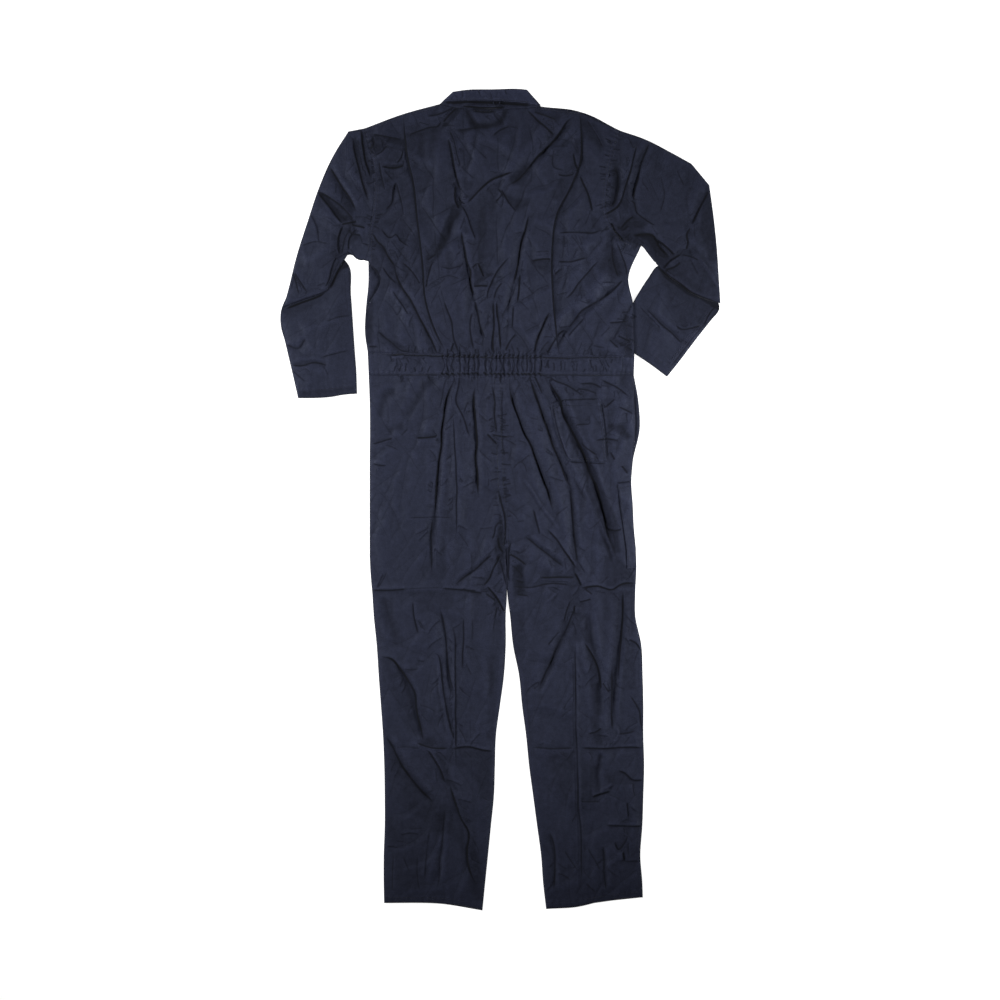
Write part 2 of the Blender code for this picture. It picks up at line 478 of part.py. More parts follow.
# Nets of the outer layer
bodice_rows = halves(7) + cuts(3, 3, 3)  # closer where it climbs over the cuff
side_cuts = [(0, 0.25, 0.45, 0.62, 0.76, 0.88)]
bodice_cuts = cuts(6, 5, 2, 6, 6, 2, 5) + side_cuts
bodice = net(BODICE, bodice_rows, bodice_cuts, corner_rows=(UNDERARM_ROW,), corner_guides=(1, 2, 4, 6, 7))
leg_left = net(LEG_LEFT, halves(20), cuts(7, 4, 4), corner_rows=(FORK_ROW,))
leg_right = net(LEG_RIGHT, halves(20), cuts(*LEG_RIGHT_COLUMNS), corner_rows=(FORK_ROW,), corner_guides=(2, 4))
sleeve_left = net(SLEEVE_LEFT, halves(7), halves(6))
sleeve_right = net(SLEEVE_RIGHT, halves(8), halves(6))
forearm_left = net(FOREARM_LEFT, halves(6), halves(4))
forearm_right = net(FOREARM_RIGHT, halves(6), halves(4))

# The rims are the edges with nothing sewn on: shoulders, sides, legs, hems, elbow folds, cuffs and the collar's edge
neck_left, neck_right = 6 + 5, 6 + 5 + 2 + 6 + 6 + 2  # bodice columns at the ends of the neck
underarm, fork, elbow = 2 * UNDERARM_ROW, 2 * FORK_ROW, 2  # rows of the nets
rims = [
    bodice[0, : neck_left + 1], bodice[0, neck_right:], bodice[underarm:, 0], bodice[underarm:, -1],
    leg_left[:, 0], leg_left[fork:, -1], leg_left[-1], leg_right[:, -1], leg_right[fork:, 0], leg_right[-1],
    sleeve_left[:, 0], sleeve_left[:, -1], sleeve_left[-1],
    sleeve_right[:, 0], sleeve_right[:, -1], sleeve_right[-1],
    forearm_left[elbow:, 0], forearm_left[elbow:, -1], forearm_left[-1],
    forearm_right[elbow:, 0], forearm_right[elbow:, -1], forearm_right[-1],
    np.array([STAND[1][0], LEAF[1][0], *LEAF[0], STAND[1][-1]], float),
    np.array([BAND_TOP[0], BAND_FOOT[0]], float), np.array([BAND_TOP[-1], BAND_FOOT[-1]], float),
]
cloth = Cloth(rims)


def outer(name, places, fullness=1.0, lift=0.0):
    """A piece of the outer layer; returns its drawn-in spots and its heights."""
    spots = to_mm(drawn_in(places, SEAM))
    upper = cloth.top(spots, fullness) + lift
    sheet(name, spots, upper, upper - BACK_CLOTH, cloth_material(name, NAVY, ROUGH))
    return spots, upper


def under(name, places, lift=0.0):
    """A piece of the layer on the ground."""
    spots = to_mm(drawn_in(places, SEAM))
    lower = np.zeros(spots.shape[:2]) + lift
    sheet(name, spots, lower + FRONT_CLOTH, lower, cloth_material(name, NAVY, ROUGH))


def on_body(places):
    return body_lift(to_mm(drawn_in(places, SEAM)))


def on_panel(name, spots, upper, rows, columns):
    """A patch made from a block of a panel's own points, moved straight up."""
    block = np.s_[rows[0]:rows[1] + 1, columns[0]:columns[1] + 1]
    lower = upper[block] + GAP
    sheet(name, spots[block], lower + FRONT_CLOTH, lower, cloth_material(name, NAVY, ROUGH))


# Back: bodice, waistband, legs, pockets
outer("back_bodice", bodice, lift=on_body(bodice))
outer("back_leg_left", leg_left)
spots_right, tops_right = outer("back_leg_right", leg_right)
guide_at = np.cumsum([0, *LEG_RIGHT_COLUMNS])
on_panel("hip_pocket", spots_right, tops_right, [2 * r for r in POCKET_ROWS], guide_at[list(POCKET_GUIDES)])
on_panel("rule_pocket", spots_right, tops_right, [2 * r for r in RULE_ROWS], guide_at[list(RULE_GUIDES)])

gathered = GATHERS[-1] - GATHERS[0]
gather_cuts = [(left + (right - left) * third / 3 - GATHERS[0]) / gathered
               for left, right in zip(GATHERS[:-1], GATHERS[1:]) for third in range(3)]
centre = (BAND_TOP[2][0] - GATHERS[0]) / gathered  # the band's middle guide lies among the gathers
band_cuts = [
    *cuts(6),
    tuple(cut / centre for cut in gather_cuts if cut < centre),
    tuple((cut - centre) / (1 - centre) for cut in gather_cuts if cut >= centre),
    *cuts(8),
]
band = net([BAND_TOP, BAND_FOOT], cuts(3), band_cuts, corner_guides=(2,))


def gathers(places):
    """Height of the elastic gathers at these places."""
    valleys = np.array(GATHERS)
    columns = np.clip(places[..., 0], valleys[0], valleys[-1])
    which = np.clip(np.searchsorted(valleys, columns, side="right") - 1, 0, len(valleys) - 2)
    wide = valleys[which + 1] - valleys[which]
    return GATHER * np.sin(np.pi * (columns - valleys[which]) / wide) * np.sqrt(wide / wide.mean())


outer("back_waistband", band, lift=gathers(band) + on_body(band))


# Sleeves: the upper part is raised over the forearm at the elbow fold
def row_values(values, places):
    """One value for each table row, spread evenly over the net's rows."""
    rows = np.linspace(0, len(values) - 1, places.shape[0])
    return np.interp(rows, np.arange(len(values)), values)[:, None] * np.ones(places.shape[:2])


outer("sleeve_left_upper", sleeve_left, lift=row_values(SLEEVE_LIFT_LEFT, sleeve_left))
outer("sleeve_right_upper", sleeve_right, lift=row_values(SLEEVE_LIFT_RIGHT, sleeve_right))
outer("sleeve_left_forearm", forearm_left, fullness=row_values(FOREARM_RISE, forearm_left))
clear = smooth_step((forearm_right[..., 0] - TUCK_EDGE) / TUCK_RUN)
outer("sleeve_right_forearm", forearm_right, fullness=row_values(FOREARM_RISE, forearm_right) * clear)
under("sleeve_left_upper_under", net(SLEEVE_LEFT[:-1], cuts(*[1] * 6), cuts(*[1] * 6)))
under("sleeve_right_upper_under", net(SLEEVE_RIGHT[:-1], cuts(*[1] * 7), halves(6)))
under("sleeve_left_forearm_under", net(FOREARM_LEFT, halves(6), cuts(*[1] * 4)))
under("sleeve_right_forearm_under", net(FOREARM_RIGHT, halves(6), cuts(*[1] * 4)))

# Front, on the ground
under("front_bodice_left", net(FRONT_BODICE_LEFT, cuts(*[1] * 10), cuts(2, 2, 1, 1, 1, 1), (UNDERARM_ROW,), (2,)))
front_table = [front + back[-2:] for front, back in zip(FRONT_BODICE_RIGHT, BODICE)]
front_right = net(front_table, bodice_rows, cuts(1, 1, 1, 1, 2) + side_cuts, (UNDERARM_ROW,), (4, 5))
under("front_bodice_right", front_right, lift=on_body(front_right))


def front_leg(back, seat, side, fly, opening=None):
    """A front leg has the back leg's outline, but the placket's edge in place of the seat seam above the fork."""
    rows = []
    for i, row in enumerate(back):
        inner = row[seat] if i > FLY_END_ROW else (fly, row[seat][1])
        edge = (opening or {}).get(i, row[side])
        middle = ((inner[0] + edge[0]) / 2, (inner[1] + edge[1]) / 2)
        rows.append([edge, middle, inner])
    return net(rows, halves(len(back) - 1), cuts(1, 1), (FLY_END_ROW, FLY_END_ROW + 1, FORK_ROW))


front_leg_left = front_leg(LEG_LEFT, -1, 0, FLY_EDGES[0])
front_leg_right = front_leg(LEG_RIGHT, 0, -1, FLY_EDGES[1], OPENING_RIGHT)
under("front_leg_left", front_leg_left)
under("front_leg_right", front_leg_right)
under("front_waistband_left", net([[BAND_TOP[0], (487.9, 354.5)], [BAND_FOOT[0], (487.9, 375.4)]], cuts(1), cuts(2)))
band_right = net([[(512.1, 356.8), *BAND_TOP[-2:]], [(512.1, 375.4), *BAND_FOOT[-2:]]], cuts(3), cuts(1, 8))
under("front_waistband_right", band_right, lift=on_body(band_right))
placket = [[(edge, row) for edge in FLY_EDGES] for row in PLACKET_ROWS] + [PLACKET_POINT]
under("front_placket", net(placket, cuts(*[1] * len(PLACKET_ROWS)), cuts(1), range(len(placket))))

# Collar: front ends on the ground, stand, leaf and hanger loop
under("collar_front_left", net(COLLAR_FRONT_LEFT, cuts(*[1] * 4), cuts(1), range(5)))
under("collar_front_right", net(COLLAR_FRONT_RIGHT, cuts(*[1] * 4), cuts(1), range(5)))
outer("collar_stand", net(STAND, cuts(3), cuts(2, 6, 6, 2), corner_guides=(2,)))
outer("collar_leaf", net(LEAF, cuts(3), cuts(2, 6, 6, 2), corner_guides=(2,)), lift=LEAF_LIFT)
turn = np.linspace(0, np.pi, 9)
rings = [
    [(LOOP_PLACE[0] - r * np.cos(a), LOOP_PLACE[1] + LOOP_DROP * r / LOOP_REACH * np.sin(a)) for a in turn]
    for r in (LOOP_REACH, LOOP_REACH - LOOP_TAPE)
]
loop = to_mm(net(rings, cuts(1), cuts(*[1] * 8)))
loop_low = cloth.top(loop) + GAP * 1.5
sheet("hanger_loop", loop, loop_low + LOOP_TAPE_THICK, loop_low, cloth_material("hanger_loop", NAVY, ROUGH))
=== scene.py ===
import math

import bmesh
import bpy
import numpy as np
from mathutils import Matrix, Vector
from mathutils.bvhtree import BVHTree


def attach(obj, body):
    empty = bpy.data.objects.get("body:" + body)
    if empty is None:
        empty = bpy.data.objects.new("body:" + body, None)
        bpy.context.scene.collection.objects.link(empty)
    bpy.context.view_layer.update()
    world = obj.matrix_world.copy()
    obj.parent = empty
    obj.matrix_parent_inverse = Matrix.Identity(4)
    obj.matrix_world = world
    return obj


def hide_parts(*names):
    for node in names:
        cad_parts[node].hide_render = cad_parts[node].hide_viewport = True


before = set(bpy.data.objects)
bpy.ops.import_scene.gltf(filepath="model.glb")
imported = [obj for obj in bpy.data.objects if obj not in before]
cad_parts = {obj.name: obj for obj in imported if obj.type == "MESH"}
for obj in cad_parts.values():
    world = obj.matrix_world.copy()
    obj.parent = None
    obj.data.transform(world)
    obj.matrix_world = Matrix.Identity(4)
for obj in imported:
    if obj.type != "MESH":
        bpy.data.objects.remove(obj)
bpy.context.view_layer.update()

# --- Back bodice ------------------------------------------------------------------------------------------
# One piece of mid-weight polyester-cotton twill from shoulders to waist, with a lapped action pleat behind
# each arm. Its edges are flat-felled to the sleeves and the fronts with twin rows of navy thread.
SQUARE, MIDDLE, MM = 2.1, (500.3653, 499.4778), 0.001  # mm to a chart square; the place over the origin
CLOTH_THICK = 0.8  # mm
NAVY, PAINTED_SHADE_COLOR = (0.0150, 0.0173, 0.0346), (0.0026, 0.0025, 0.0030)  # the dyed cloth, the colour of painted shade at the bottom of a crease
BACK_FINE = (1.08, 1.5)  # squares between the threads of the net, across and down

# Left side, left pleat, neck end, neck, centre, neck, neck end, right pleat, right side
BODICE = [
    [(365, 129.3), (403.5, 115), (440, 105), (456, 109), (492, 110.5), (530, 109), (541, 107.6),
     (579.5, 112.7), (619.9, 131.6)],
    [(367.8, 142), (405.2, 138), (441, 133), (456, 133), (492, 134), (528, 133), (542, 133), (581, 138),
     (615.8, 142.4)],
    [(373.5, 165), (409.2, 165), (443, 163), (458, 163), (494, 163), (526, 163), (545, 163),
     (580.5, 162), (611, 163)],
    [(375, 190), (414, 190), (445, 189), (461, 188), (496, 188), (524, 188), (545, 188), (570, 190),
     (606.8, 190)],
    [(373, 215), (417, 215), (445, 214), (463, 214), (497, 214), (522, 214), (540, 214), (557, 215),
     (606, 213)],
    [(368.5, 240), (420, 240), (446, 240), (464, 240), (496, 240), (521, 240), (538, 240), (553, 240),
     (618, 236)],
    [(368.7, 262), (422.5, 262), (447, 262), (467, 262), (495, 262), (519, 262), (537, 262), (552, 261),
     (641, 246)],
    [(380.5, 282), (424.5, 285), (447, 285), (470.5, 285), (494, 285), (516, 285), (535, 285), (552.6, 285),
     (628, 280)],
    [(368.5, 306), (427.5, 307), (450, 308), (475, 308), (493.5, 308), (514, 308), (534, 308), (554, 308),
     (632.5, 304)],
    [(365.3, 332), (435.5, 332), (456, 332), (481, 332), (494, 332), (512, 332), (530, 332), (557, 331),
     (633, 330)],
    [(368, 352.5), (448, 355.2), (461, 355.65), (484, 356.4), (495, 356.8), (508, 356.8), (526, 356.8),
     (559, 356.8), (634, 356.8)],
]
UNDERARM_ROW = 6


def through(points, corners, steps):
    """A smooth line through the points, sharp at the corners; span i is cut at the fractions in steps[i]."""
    points = np.asarray(points, float)
    spans = points[1:] - points[:-1]
    lengths = np.linalg.norm(spans, axis=1, keepdims=True) + 1e-9
    slopes = spans / lengths
    last = len(spans)

    def slope(at, span):
        if at in corners or at in (0, last):
            return slopes[span]
        before, after = lengths[at - 1], lengths[at]
        return (slopes[at - 1] * after + slopes[at] * before) / (before + after)

    line = []
    for i in range(last):
        start, end = slope(i, i) * lengths[i], slope(i + 1, i) * lengths[i]
        t = np.array(steps[i])[:, None]
        line.append(
            (2 * t**3 - 3 * t**2 + 1) * points[i]
            + (t**3 - 2 * t**2 + t) * start
            + (3 * t**2 - 2 * t**3) * points[i + 1]
            + (t**3 - t**2) * end
        )
    return np.concatenate([*line, points[-1:]])


def even_cuts(table, axis, spacing):
    """Cuts for each span between rows (axis 0) or guides (axis 1), so that a net is about even."""
    wide = np.linalg.norm(np.diff(table, axis=axis), axis=2).mean(axis=1 - axis)
    return [tuple(np.arange(n) / n) for n in np.maximum(1, np.round(wide / spacing)).astype(int)]


def net(table, fine, corner_rows=(), corner_guides=()):
    """The chart places of a piece: its sections and guide lines, filled in to a fine net."""
    table = np.array(table, float)
    down = even_cuts(table, 0, fine[1])
    across = even_cuts(table, 1, fine[0])
    guides = [through(table[:, g], corner_rows, down) for g in range(table.shape[1])]
    return np.array([through(row, corner_guides, across) for row in np.stack(guides, axis=1)])


def to_mm(places):
    """Places on the chart in millimetres from the origin."""
    places = np.asarray(places, float)
    return np.stack([(places[..., 0] - MIDDLE[0]) * SQUARE, (MIDDLE[1] - places[..., 1]) * SQUARE], axis=-1)


# The cloth: a twill line at 45 degrees and slubby yarns, with a painted highlight and wear on the ridges, and
# painted shade deep in the creases
SHEEN, ROUGH = 0.08, 0.72
LINE_LEFT, SHADE_LEFT = 0.02, 0.22  # share of the colour left in the painted shade line of a crease and in full painted shade
WEAVE_DEEP, GROOVE_DEEP, LAP_DEEP = 0.00012, 0.0005, 0.0011  # metres


def socket_group(name, numbers, vectors, outputs):
    """A new node group, the sockets that enter it and those that leave it."""
    group = bpy.data.node_groups.new(name, "ShaderNodeTree")
    new = group.interface.new_socket
    for label, value in numbers.items():
        new(label, in_out="INPUT", socket_type="NodeSocketFloat").default_value = value
    for label in vectors:
        new(label, in_out="INPUT", socket_type="NodeSocketVector")
    for label in outputs:
        new(label, in_out="OUTPUT", socket_type="NodeSocketFloat")
    return group, group.nodes.new("NodeGroupInput").outputs, group.nodes.new("NodeGroupOutput").inputs


def wire(tree, source, socket):
    """Links a socket to a source, or sets it where the source is a plain value."""
    if isinstance(source, bpy.types.NodeSocket):
        tree.links.new(source, socket)
    else:
        socket.default_value = source


def sums(tree, operation, *values):
    node = tree.nodes.new("ShaderNodeMath")
    node.operation = operation
    for value, socket in zip(values, node.inputs):
        wire(tree, value, socket)
    return node.outputs[0]


def spread(tree, value, low, high, to_low, to_high, smooth=False):
    """The value's run from low to high, spread from to_low to to_high."""
    node = tree.nodes.new("ShaderNodeMapRange")
    node.interpolation_type = "SMOOTHSTEP" if smooth else "LINEAR"
    for source, socket in zip((value, low, high, to_low, to_high), node.inputs):
        wire(tree, source, socket)
    return node.outputs[0]


def clouds(tree, where, lumps, detail, roughness=0.5):
    """Soft noise with about so many lumps to a metre."""
    node = tree.nodes.new("ShaderNodeTexNoise")
    for source, label in ((where, "Vector"), (lumps, "Scale"), (detail, "Detail"), (roughness, "Roughness")):
        wire(tree, source, node.inputs[label])
    return node.outputs["Fac"]


def varied(tree, where, lumps, detail, low, high, roughness=0.5):
    """A value that wanders between low and high in clouds."""
    return spread(tree, clouds(tree, where, lumps, detail, roughness), 0.3, 0.7, low, high)


def tinted(tree, color, value):
    """The colour times a value."""
    node = tree.nodes.new("ShaderNodeVectorMath")
    node.operation = "SCALE"
    node.inputs[0].default_value = color
    wire(tree, value, node.inputs["Scale"])
    return node.outputs[0]


def grouped(tree, group, sources):
    """The outputs of a node group that is fed by these sources."""
    node = tree.nodes.new("ShaderNodeGroup")
    node.node_tree = group
    for label, source in sources.items():
        wire(tree, source, node.inputs[label])
    return node.outputs


def relief(tree, height, strength, deep, below=None, sunk=False):
    """A bump this many metres deep, over the bump below it."""
    node = tree.nodes.new("ShaderNodeBump")
    node.invert = sunk
    node.inputs["Strength"].default_value = strength
    node.inputs["Distance"].default_value = deep
    wire(tree, height, node.inputs["Height"])
    if below is not None:
        tree.links.new(below, node.inputs["Normal"])
    return node.outputs[0]


def finished(name, values):
    """A new material, its tree and its shader, set to these values."""
    material = bpy.data.materials.new(name)
    material.use_nodes = True
    shader = material.node_tree.nodes["Principled BSDF"]
    for label, value in values.items():
        shader.inputs[label].default_value = value
    return material, material.node_tree, shader


# Height of the weave, and how far up a yarn a place is
twill_weave, enter, leave = socket_group("twill_weave", {"Pitch": 0.0009}, ["Cloth"], ["Height", "Yarn"])
split = twill_weave.nodes.new("ShaderNodeSeparateXYZ")
wire(twill_weave, enter["Cloth"], split.inputs[0])
slub = clouds(twill_weave, enter["Cloth"], 420.0, 2.0)
slant = sums(twill_weave, "ADD", split.outputs[0], split.outputs[1])
diagonal = sums(twill_weave, "DIVIDE", slant, enter["Pitch"])
diagonal = sums(twill_weave, "ADD", diagonal, sums(twill_weave, "MULTIPLY", slub, 1.6))
line = sums(twill_weave, "PINGPONG", diagonal, 0.5)
yarns = sums(twill_weave, "PINGPONG", sums(twill_weave, "DIVIDE", split.outputs[0], enter["Pitch"]), 0.3)
height = sums(twill_weave, "MULTIPLY_ADD", line, 1.6, sums(twill_weave, "MULTIPLY", yarns, 0.7))
wire(twill_weave, height, leave["Height"])
raised = sums(twill_weave, "ADD", line, sums(twill_weave, "MULTIPLY", slub, 0.6))
wire(twill_weave, spread(twill_weave, raised, 0.2, 0.9, 0.0, 1.0), leave["Yarn"])

# The groove that a row of stitches pulls in, and the cloth doubled between twin rows, from the distance in mm
needle_rows, enter, leave = socket_group(
    "needle_rows", {"Seam": 99.0, "Needle": 0.0, "Width": 0.9}, [], ["Groove", "Felled"])
away = sums(needle_rows, "ABSOLUTE", enter["Seam"])
past = sums(needle_rows, "SUBTRACT", away, enter["Needle"])
beside = sums(needle_rows, "ABSOLUTE", past)
wire(needle_rows, spread(needle_rows, beside, 0.2, enter["Width"], 1.0, 0.0, True), leave["Groove"])
wire(needle_rows, spread(needle_rows, past, 0.4, 2.2, 1.0, 0.0, True), leave["Felled"])

# How far into the sharp line of a crease a place is, the line being painted shade, and the lapped step there,
# from the distance in mm
crease_line, enter, leave = socket_group(
    "crease_line", {"Crease": 99.0, "Depth": 0.0}, [], ["Line", "Step"])
off = sums(crease_line, "ABSOLUTE", enter["Crease"])
wide = spread(crease_line, enter["Depth"], 0.0, 1.0, 1.2, 3.0)
inside = spread(crease_line, off, 0.9, wide, 1.0, 0.0, True)
dark = sums(crease_line, "POWER", enter["Depth"], 0.8)
wire(crease_line, sums(crease_line, "MULTIPLY", inside, dark), leave["Line"])
step = spread(crease_line, enter["Crease"], -1.6, 1.6, 0.0, 1.0, True)
over = spread(crease_line, off, 1.5, 7.0, 1.0, 0.0, True)
height = sums(crease_line, "MULTIPLY", step, over)
wire(crease_line, sums(crease_line, "MULTIPLY", height, enter["Depth"]), leave["Step"])


def twill(name, color, pitch=0.0009, fade=1.0):
    """Washed cotton-rich twill, its lines pitch metres apart; fade scales how pale the ridges are, a painted
    highlight with wear.
    """
    material, tree, shader = finished(name, {
        "Specular IOR Level": 0.32,
        "Specular Tint": (0.7, 0.78, 1, 1),
        "Sheen Weight": SHEEN,
        "Sheen Roughness": 0.45,
        "Sheen Tint": (0.55, 0.6, 0.78, 1),
    })
    places = tree.nodes.new("ShaderNodeTexCoord").outputs["Object"]
    cloth = tree.nodes.new("ShaderNodeUVMap")
    cloth.uv_map = "cloth"
    grain = cloth.outputs[0]
    marks = {}
    for label in ("seam", "needle", "crease", "depth", "shade", "wear_and_highlight"):
        node = tree.nodes.new("ShaderNodeAttribute")
        node.attribute_name = label
        marks[label] = node.outputs["Fac"]
    weave = grouped(tree, twill_weave, {"Cloth": grain, "Pitch": pitch})
    rows = grouped(tree, needle_rows, {"Seam": marks["seam"], "Needle": marks["needle"]})
    lines = grouped(tree, crease_line, {"Crease": marks["crease"], "Depth": marks["depth"]})
    # light and dark of the dye and the yarns; the ridges paler, a painted highlight with wear; painted shade
    # in the stitch grooves; the felled bands a little lighter
    dye = varied(tree, places, 7.0, 3.0, 0.93, 1.07)
    mottle = varied(tree, places, 120.0, 4.0, 0.87, 1.13, 0.6)
    fleck = varied(tree, grain, 620.0, 3.0, 0.6, 1.4, 0.7)
    slanted = tree.nodes.new("ShaderNodeMapping")
    slanted.inputs["Rotation"].default_value = (0, 0, math.radians(-38))
    slanted.inputs["Scale"].default_value = (60, 520, 1)
    tree.links.new(grain, slanted.inputs["Vector"])
    streak = varied(tree, slanted.outputs[0], 1.0, 2.0, 0.93, 1.07)
    yarn = spread(tree, weave["Yarn"], 0.0, 1.0, 0.86, 1.12)
    worn_and_lit = spread(tree, marks["wear_and_highlight"], 0.0, 1.0, 1.0, 1.0 + 0.25 * fade)
    # painted shade in the grooves of the stitch rows
    sewn = spread(tree, rows["Groove"], 0.0, 1.0, 1.0, 0.72)
    pressed = spread(tree, rows["Felled"], 0.0, 1.0, 1.0, 1.05)
    value = dye
    for part in (mottle, fleck, streak, yarn, worn_and_lit, sewn, pressed):
        value = sums(tree, "MULTIPLY", value, part)
    # painted shade: the colour goes toward the dark shade colour in the crease lines and where the shade
    # attribute is set
    clear = sums(tree, "MULTIPLY", spread(tree, lines["Line"], 0.0, 1.0, 1.0, LINE_LEFT),
                 spread(tree, marks["shade"], 0.0, 1.0, 1.0, SHADE_LEFT))
    painted_shade_mix = tree.nodes.new("ShaderNodeMix")
    painted_shade_mix.data_type = "RGBA"
    wire(tree, clear, painted_shade_mix.inputs[0])
    painted_shade_mix.inputs[6].default_value = (*PAINTED_SHADE_COLOR, 1)
    tree.links.new(tinted(tree, color, value), painted_shade_mix.inputs[7])
    tree.links.new(painted_shade_mix.outputs[2], shader.inputs["Base Color"])
    rough = sums(tree, "ADD", spread(tree, mottle, 0.9, 1.1, ROUGH + 0.05, ROUGH - 0.05),
                 spread(tree, clear, 0.3, 1.0, 0.3, 0.0))
    wire(tree, rough, shader.inputs["Roughness"])
    woven = relief(tree, weave["Height"], 0.5, WEAVE_DEEP)
    grooved = relief(tree, rows["Groove"], 0.8, GROOVE_DEEP, woven, sunk=True)
    lapped = relief(tree, lines["Step"], 0.9, LAP_DEEP, grooved)
    tree.links.new(lapped, shader.inputs["Normal"])
    return material


body_twill = twill("navy_twill", NAVY)

pieces = {}  # name: the piece, its chart net, its layer, how full it is and how far it is lifted
folds, creases, seams = [], [], []  # marks on the cloth, added to by each piece's section
rims = []  # edges of the outer layer with nothing sewn on


def made(name, bm, material):
    """An object in the scene from a mesh that is ready."""
    mesh = bpy.data.meshes.new(name)
    bm.to_mesh(mesh)
    bm.free()
    mesh.shade_smooth()
    mesh.materials.append(material)
    piece = bpy.data.objects.new(name, mesh)
    bpy.context.scene.collection.objects.link(piece)
    return piece


def walled(piece, thick):
    """Gives a piece its cloth's thickness in mm, below its face."""
    wall = piece.modifiers.new("wall", "SOLIDIFY")
    wall.thickness, wall.offset = thick * MM, -1


def run_of(steps):
    """How far along each point of a line is, from the steps between its points."""
    return np.concatenate([[0], np.cumsum(steps)])


def cut(name, places, material, layer="outer", fullness=1.0, lift=0.0, thick=CLOTH_THICK):
    """Cuts a piece: a fine grid for its net, with its grain as UV, and its wall; the net is kept for laying
    it later.
    """
    rows, columns = places.shape[:2]
    bm = bmesh.new()
    bmesh.ops.create_grid(bm, x_segments=columns - 1, y_segments=rows - 1, size=0.5)
    ends = places[[0, 0, -1], [0, -1, 0]]
    if np.cross(ends[1] - ends[0], ends[2] - ends[0]) < 0:  # its net runs right to left
        bmesh.ops.reverse_faces(bm, faces=bm.faces[:])
    piece = made(name, bm, material)
    mesh = piece.data
    spots = np.empty(len(mesh.vertices) * 3, np.float32)
    mesh.vertices.foreach_get("co", spots)
    spots = spots.reshape(-1, 3)
    column = np.rint((spots[:, 0] + 0.5) * (columns - 1)).astype(int)
    row = np.rint((0.5 - spots[:, 1]) * (rows - 1)).astype(int)
    across, down = (
        run_of(np.linalg.norm(np.diff(places, axis=axis), axis=2).mean(axis=1 - axis)) for axis in (1, 0))
    grain = np.stack([across[column], -down[row]], axis=1) * SQUARE * MM
    corner = np.empty(len(mesh.loops), np.int32)
    mesh.loops.foreach_get("vertex_index", corner)
    mesh.uv_layers.new(name="cloth").data.foreach_set("uv", grain[corner].astype(np.float32).ravel())
    walled(piece, thick)
    pieces[name] = dict(
        piece=piece,
        places=places,
        order=(row, column),
        layer=layer,
        fullness=np.broadcast_to(fullness, (rows, columns)),
        lift=np.broadcast_to(lift, (rows, columns)),
    )
    return piece


def lies_for(piece, node):
    """The piece stands for a CAD node: it hangs from the root, and that node is hidden."""
    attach(piece, "root")
    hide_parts(node)


bodice = net(BODICE, BACK_FINE, (UNDERARM_ROW,), (2, 4, 6))
back_bodice = cut("back_bodice_cloth", bodice, body_twill)
lies_for(back_bodice, "back_bodice")
outline = np.array(BODICE, float)
rims += [outline[0, :3], outline[0, 6:], outline[UNDERARM_ROW:, 0], outline[UNDERARM_ROW:, -1]]

# Large folds: kind, half width mm, height mm, then the places it runs through
folds += [
    ("left_step", 20, 2.4, (403.5, 112), (405, 134.5), (409.3, 166), (413, 181), (417.4, 219),
     (423.6, 273.6), (425, 296.5), (434.6, 330), (449, 358)),
    ("right_step", 20, 2.4, (579.4, 109), (581, 138), (580.5, 162), (570, 190), (557, 215), (552, 249),
     (552.6, 296), (559, 360)),
    ("valley", 9, 3, (372.4, 233), (383.4, 247.7), (396, 269), (403, 289), (411.7, 302), (427, 333),
     (440.4, 360)),
    ("valley", 8, 3, (461.4, 232), (467, 266), (470, 281), (476, 306), (481.5, 331), (486, 352)),
    ("ridge", 12, 3, (452, 236), (457, 270), (462, 300), (468, 345)),
    ("valley", 10, 4, (576.5, 118), (553.6, 143), (528.7, 169), (505.7, 189)),
    ("ridge", 14, 3, (556, 118), (540, 135), (520, 158), (500, 176)),
    ("valley", 9, 3, (527.7, 220), (521, 241), (518, 266), (512.4, 287), (505, 353)),
    ("ridge", 12, 3, (510, 240), (506, 280), (502, 335)),
    ("valley", 9, 3.5, (623.4, 280), (595.7, 303), (574.6, 321), (567, 330), (552, 356)),
    ("ridge", 14, 4, (612, 262), (590, 292), (566, 312), (545, 345)),
    ("valley", 7, 2.5, (550, 312), (537.3, 340), (533.5, 356)),
    ("valley", 8, 2.5, (448, 137), (455.7, 175.7), (460.4, 190), (459.5, 211)),
    ("ridge", 15, 3, (440, 200), (437, 240), (448, 290), (460, 335)),
    ("valley", 7, 2, (384, 168), (396, 169), (405, 167)),
    ("valley", 8, 2.5, (396, 183), (392.5, 203), (385.8, 212)),
    ("valley", 8, 3, (611, 228), (613, 258), (618.6, 279)),
    ("ridge", 10, 2.5, (556, 248), (575, 247), (600, 243)),
    ("valley", 7, 2.5, (377, 330), (393.5, 344), (411.7, 352.5)),
]
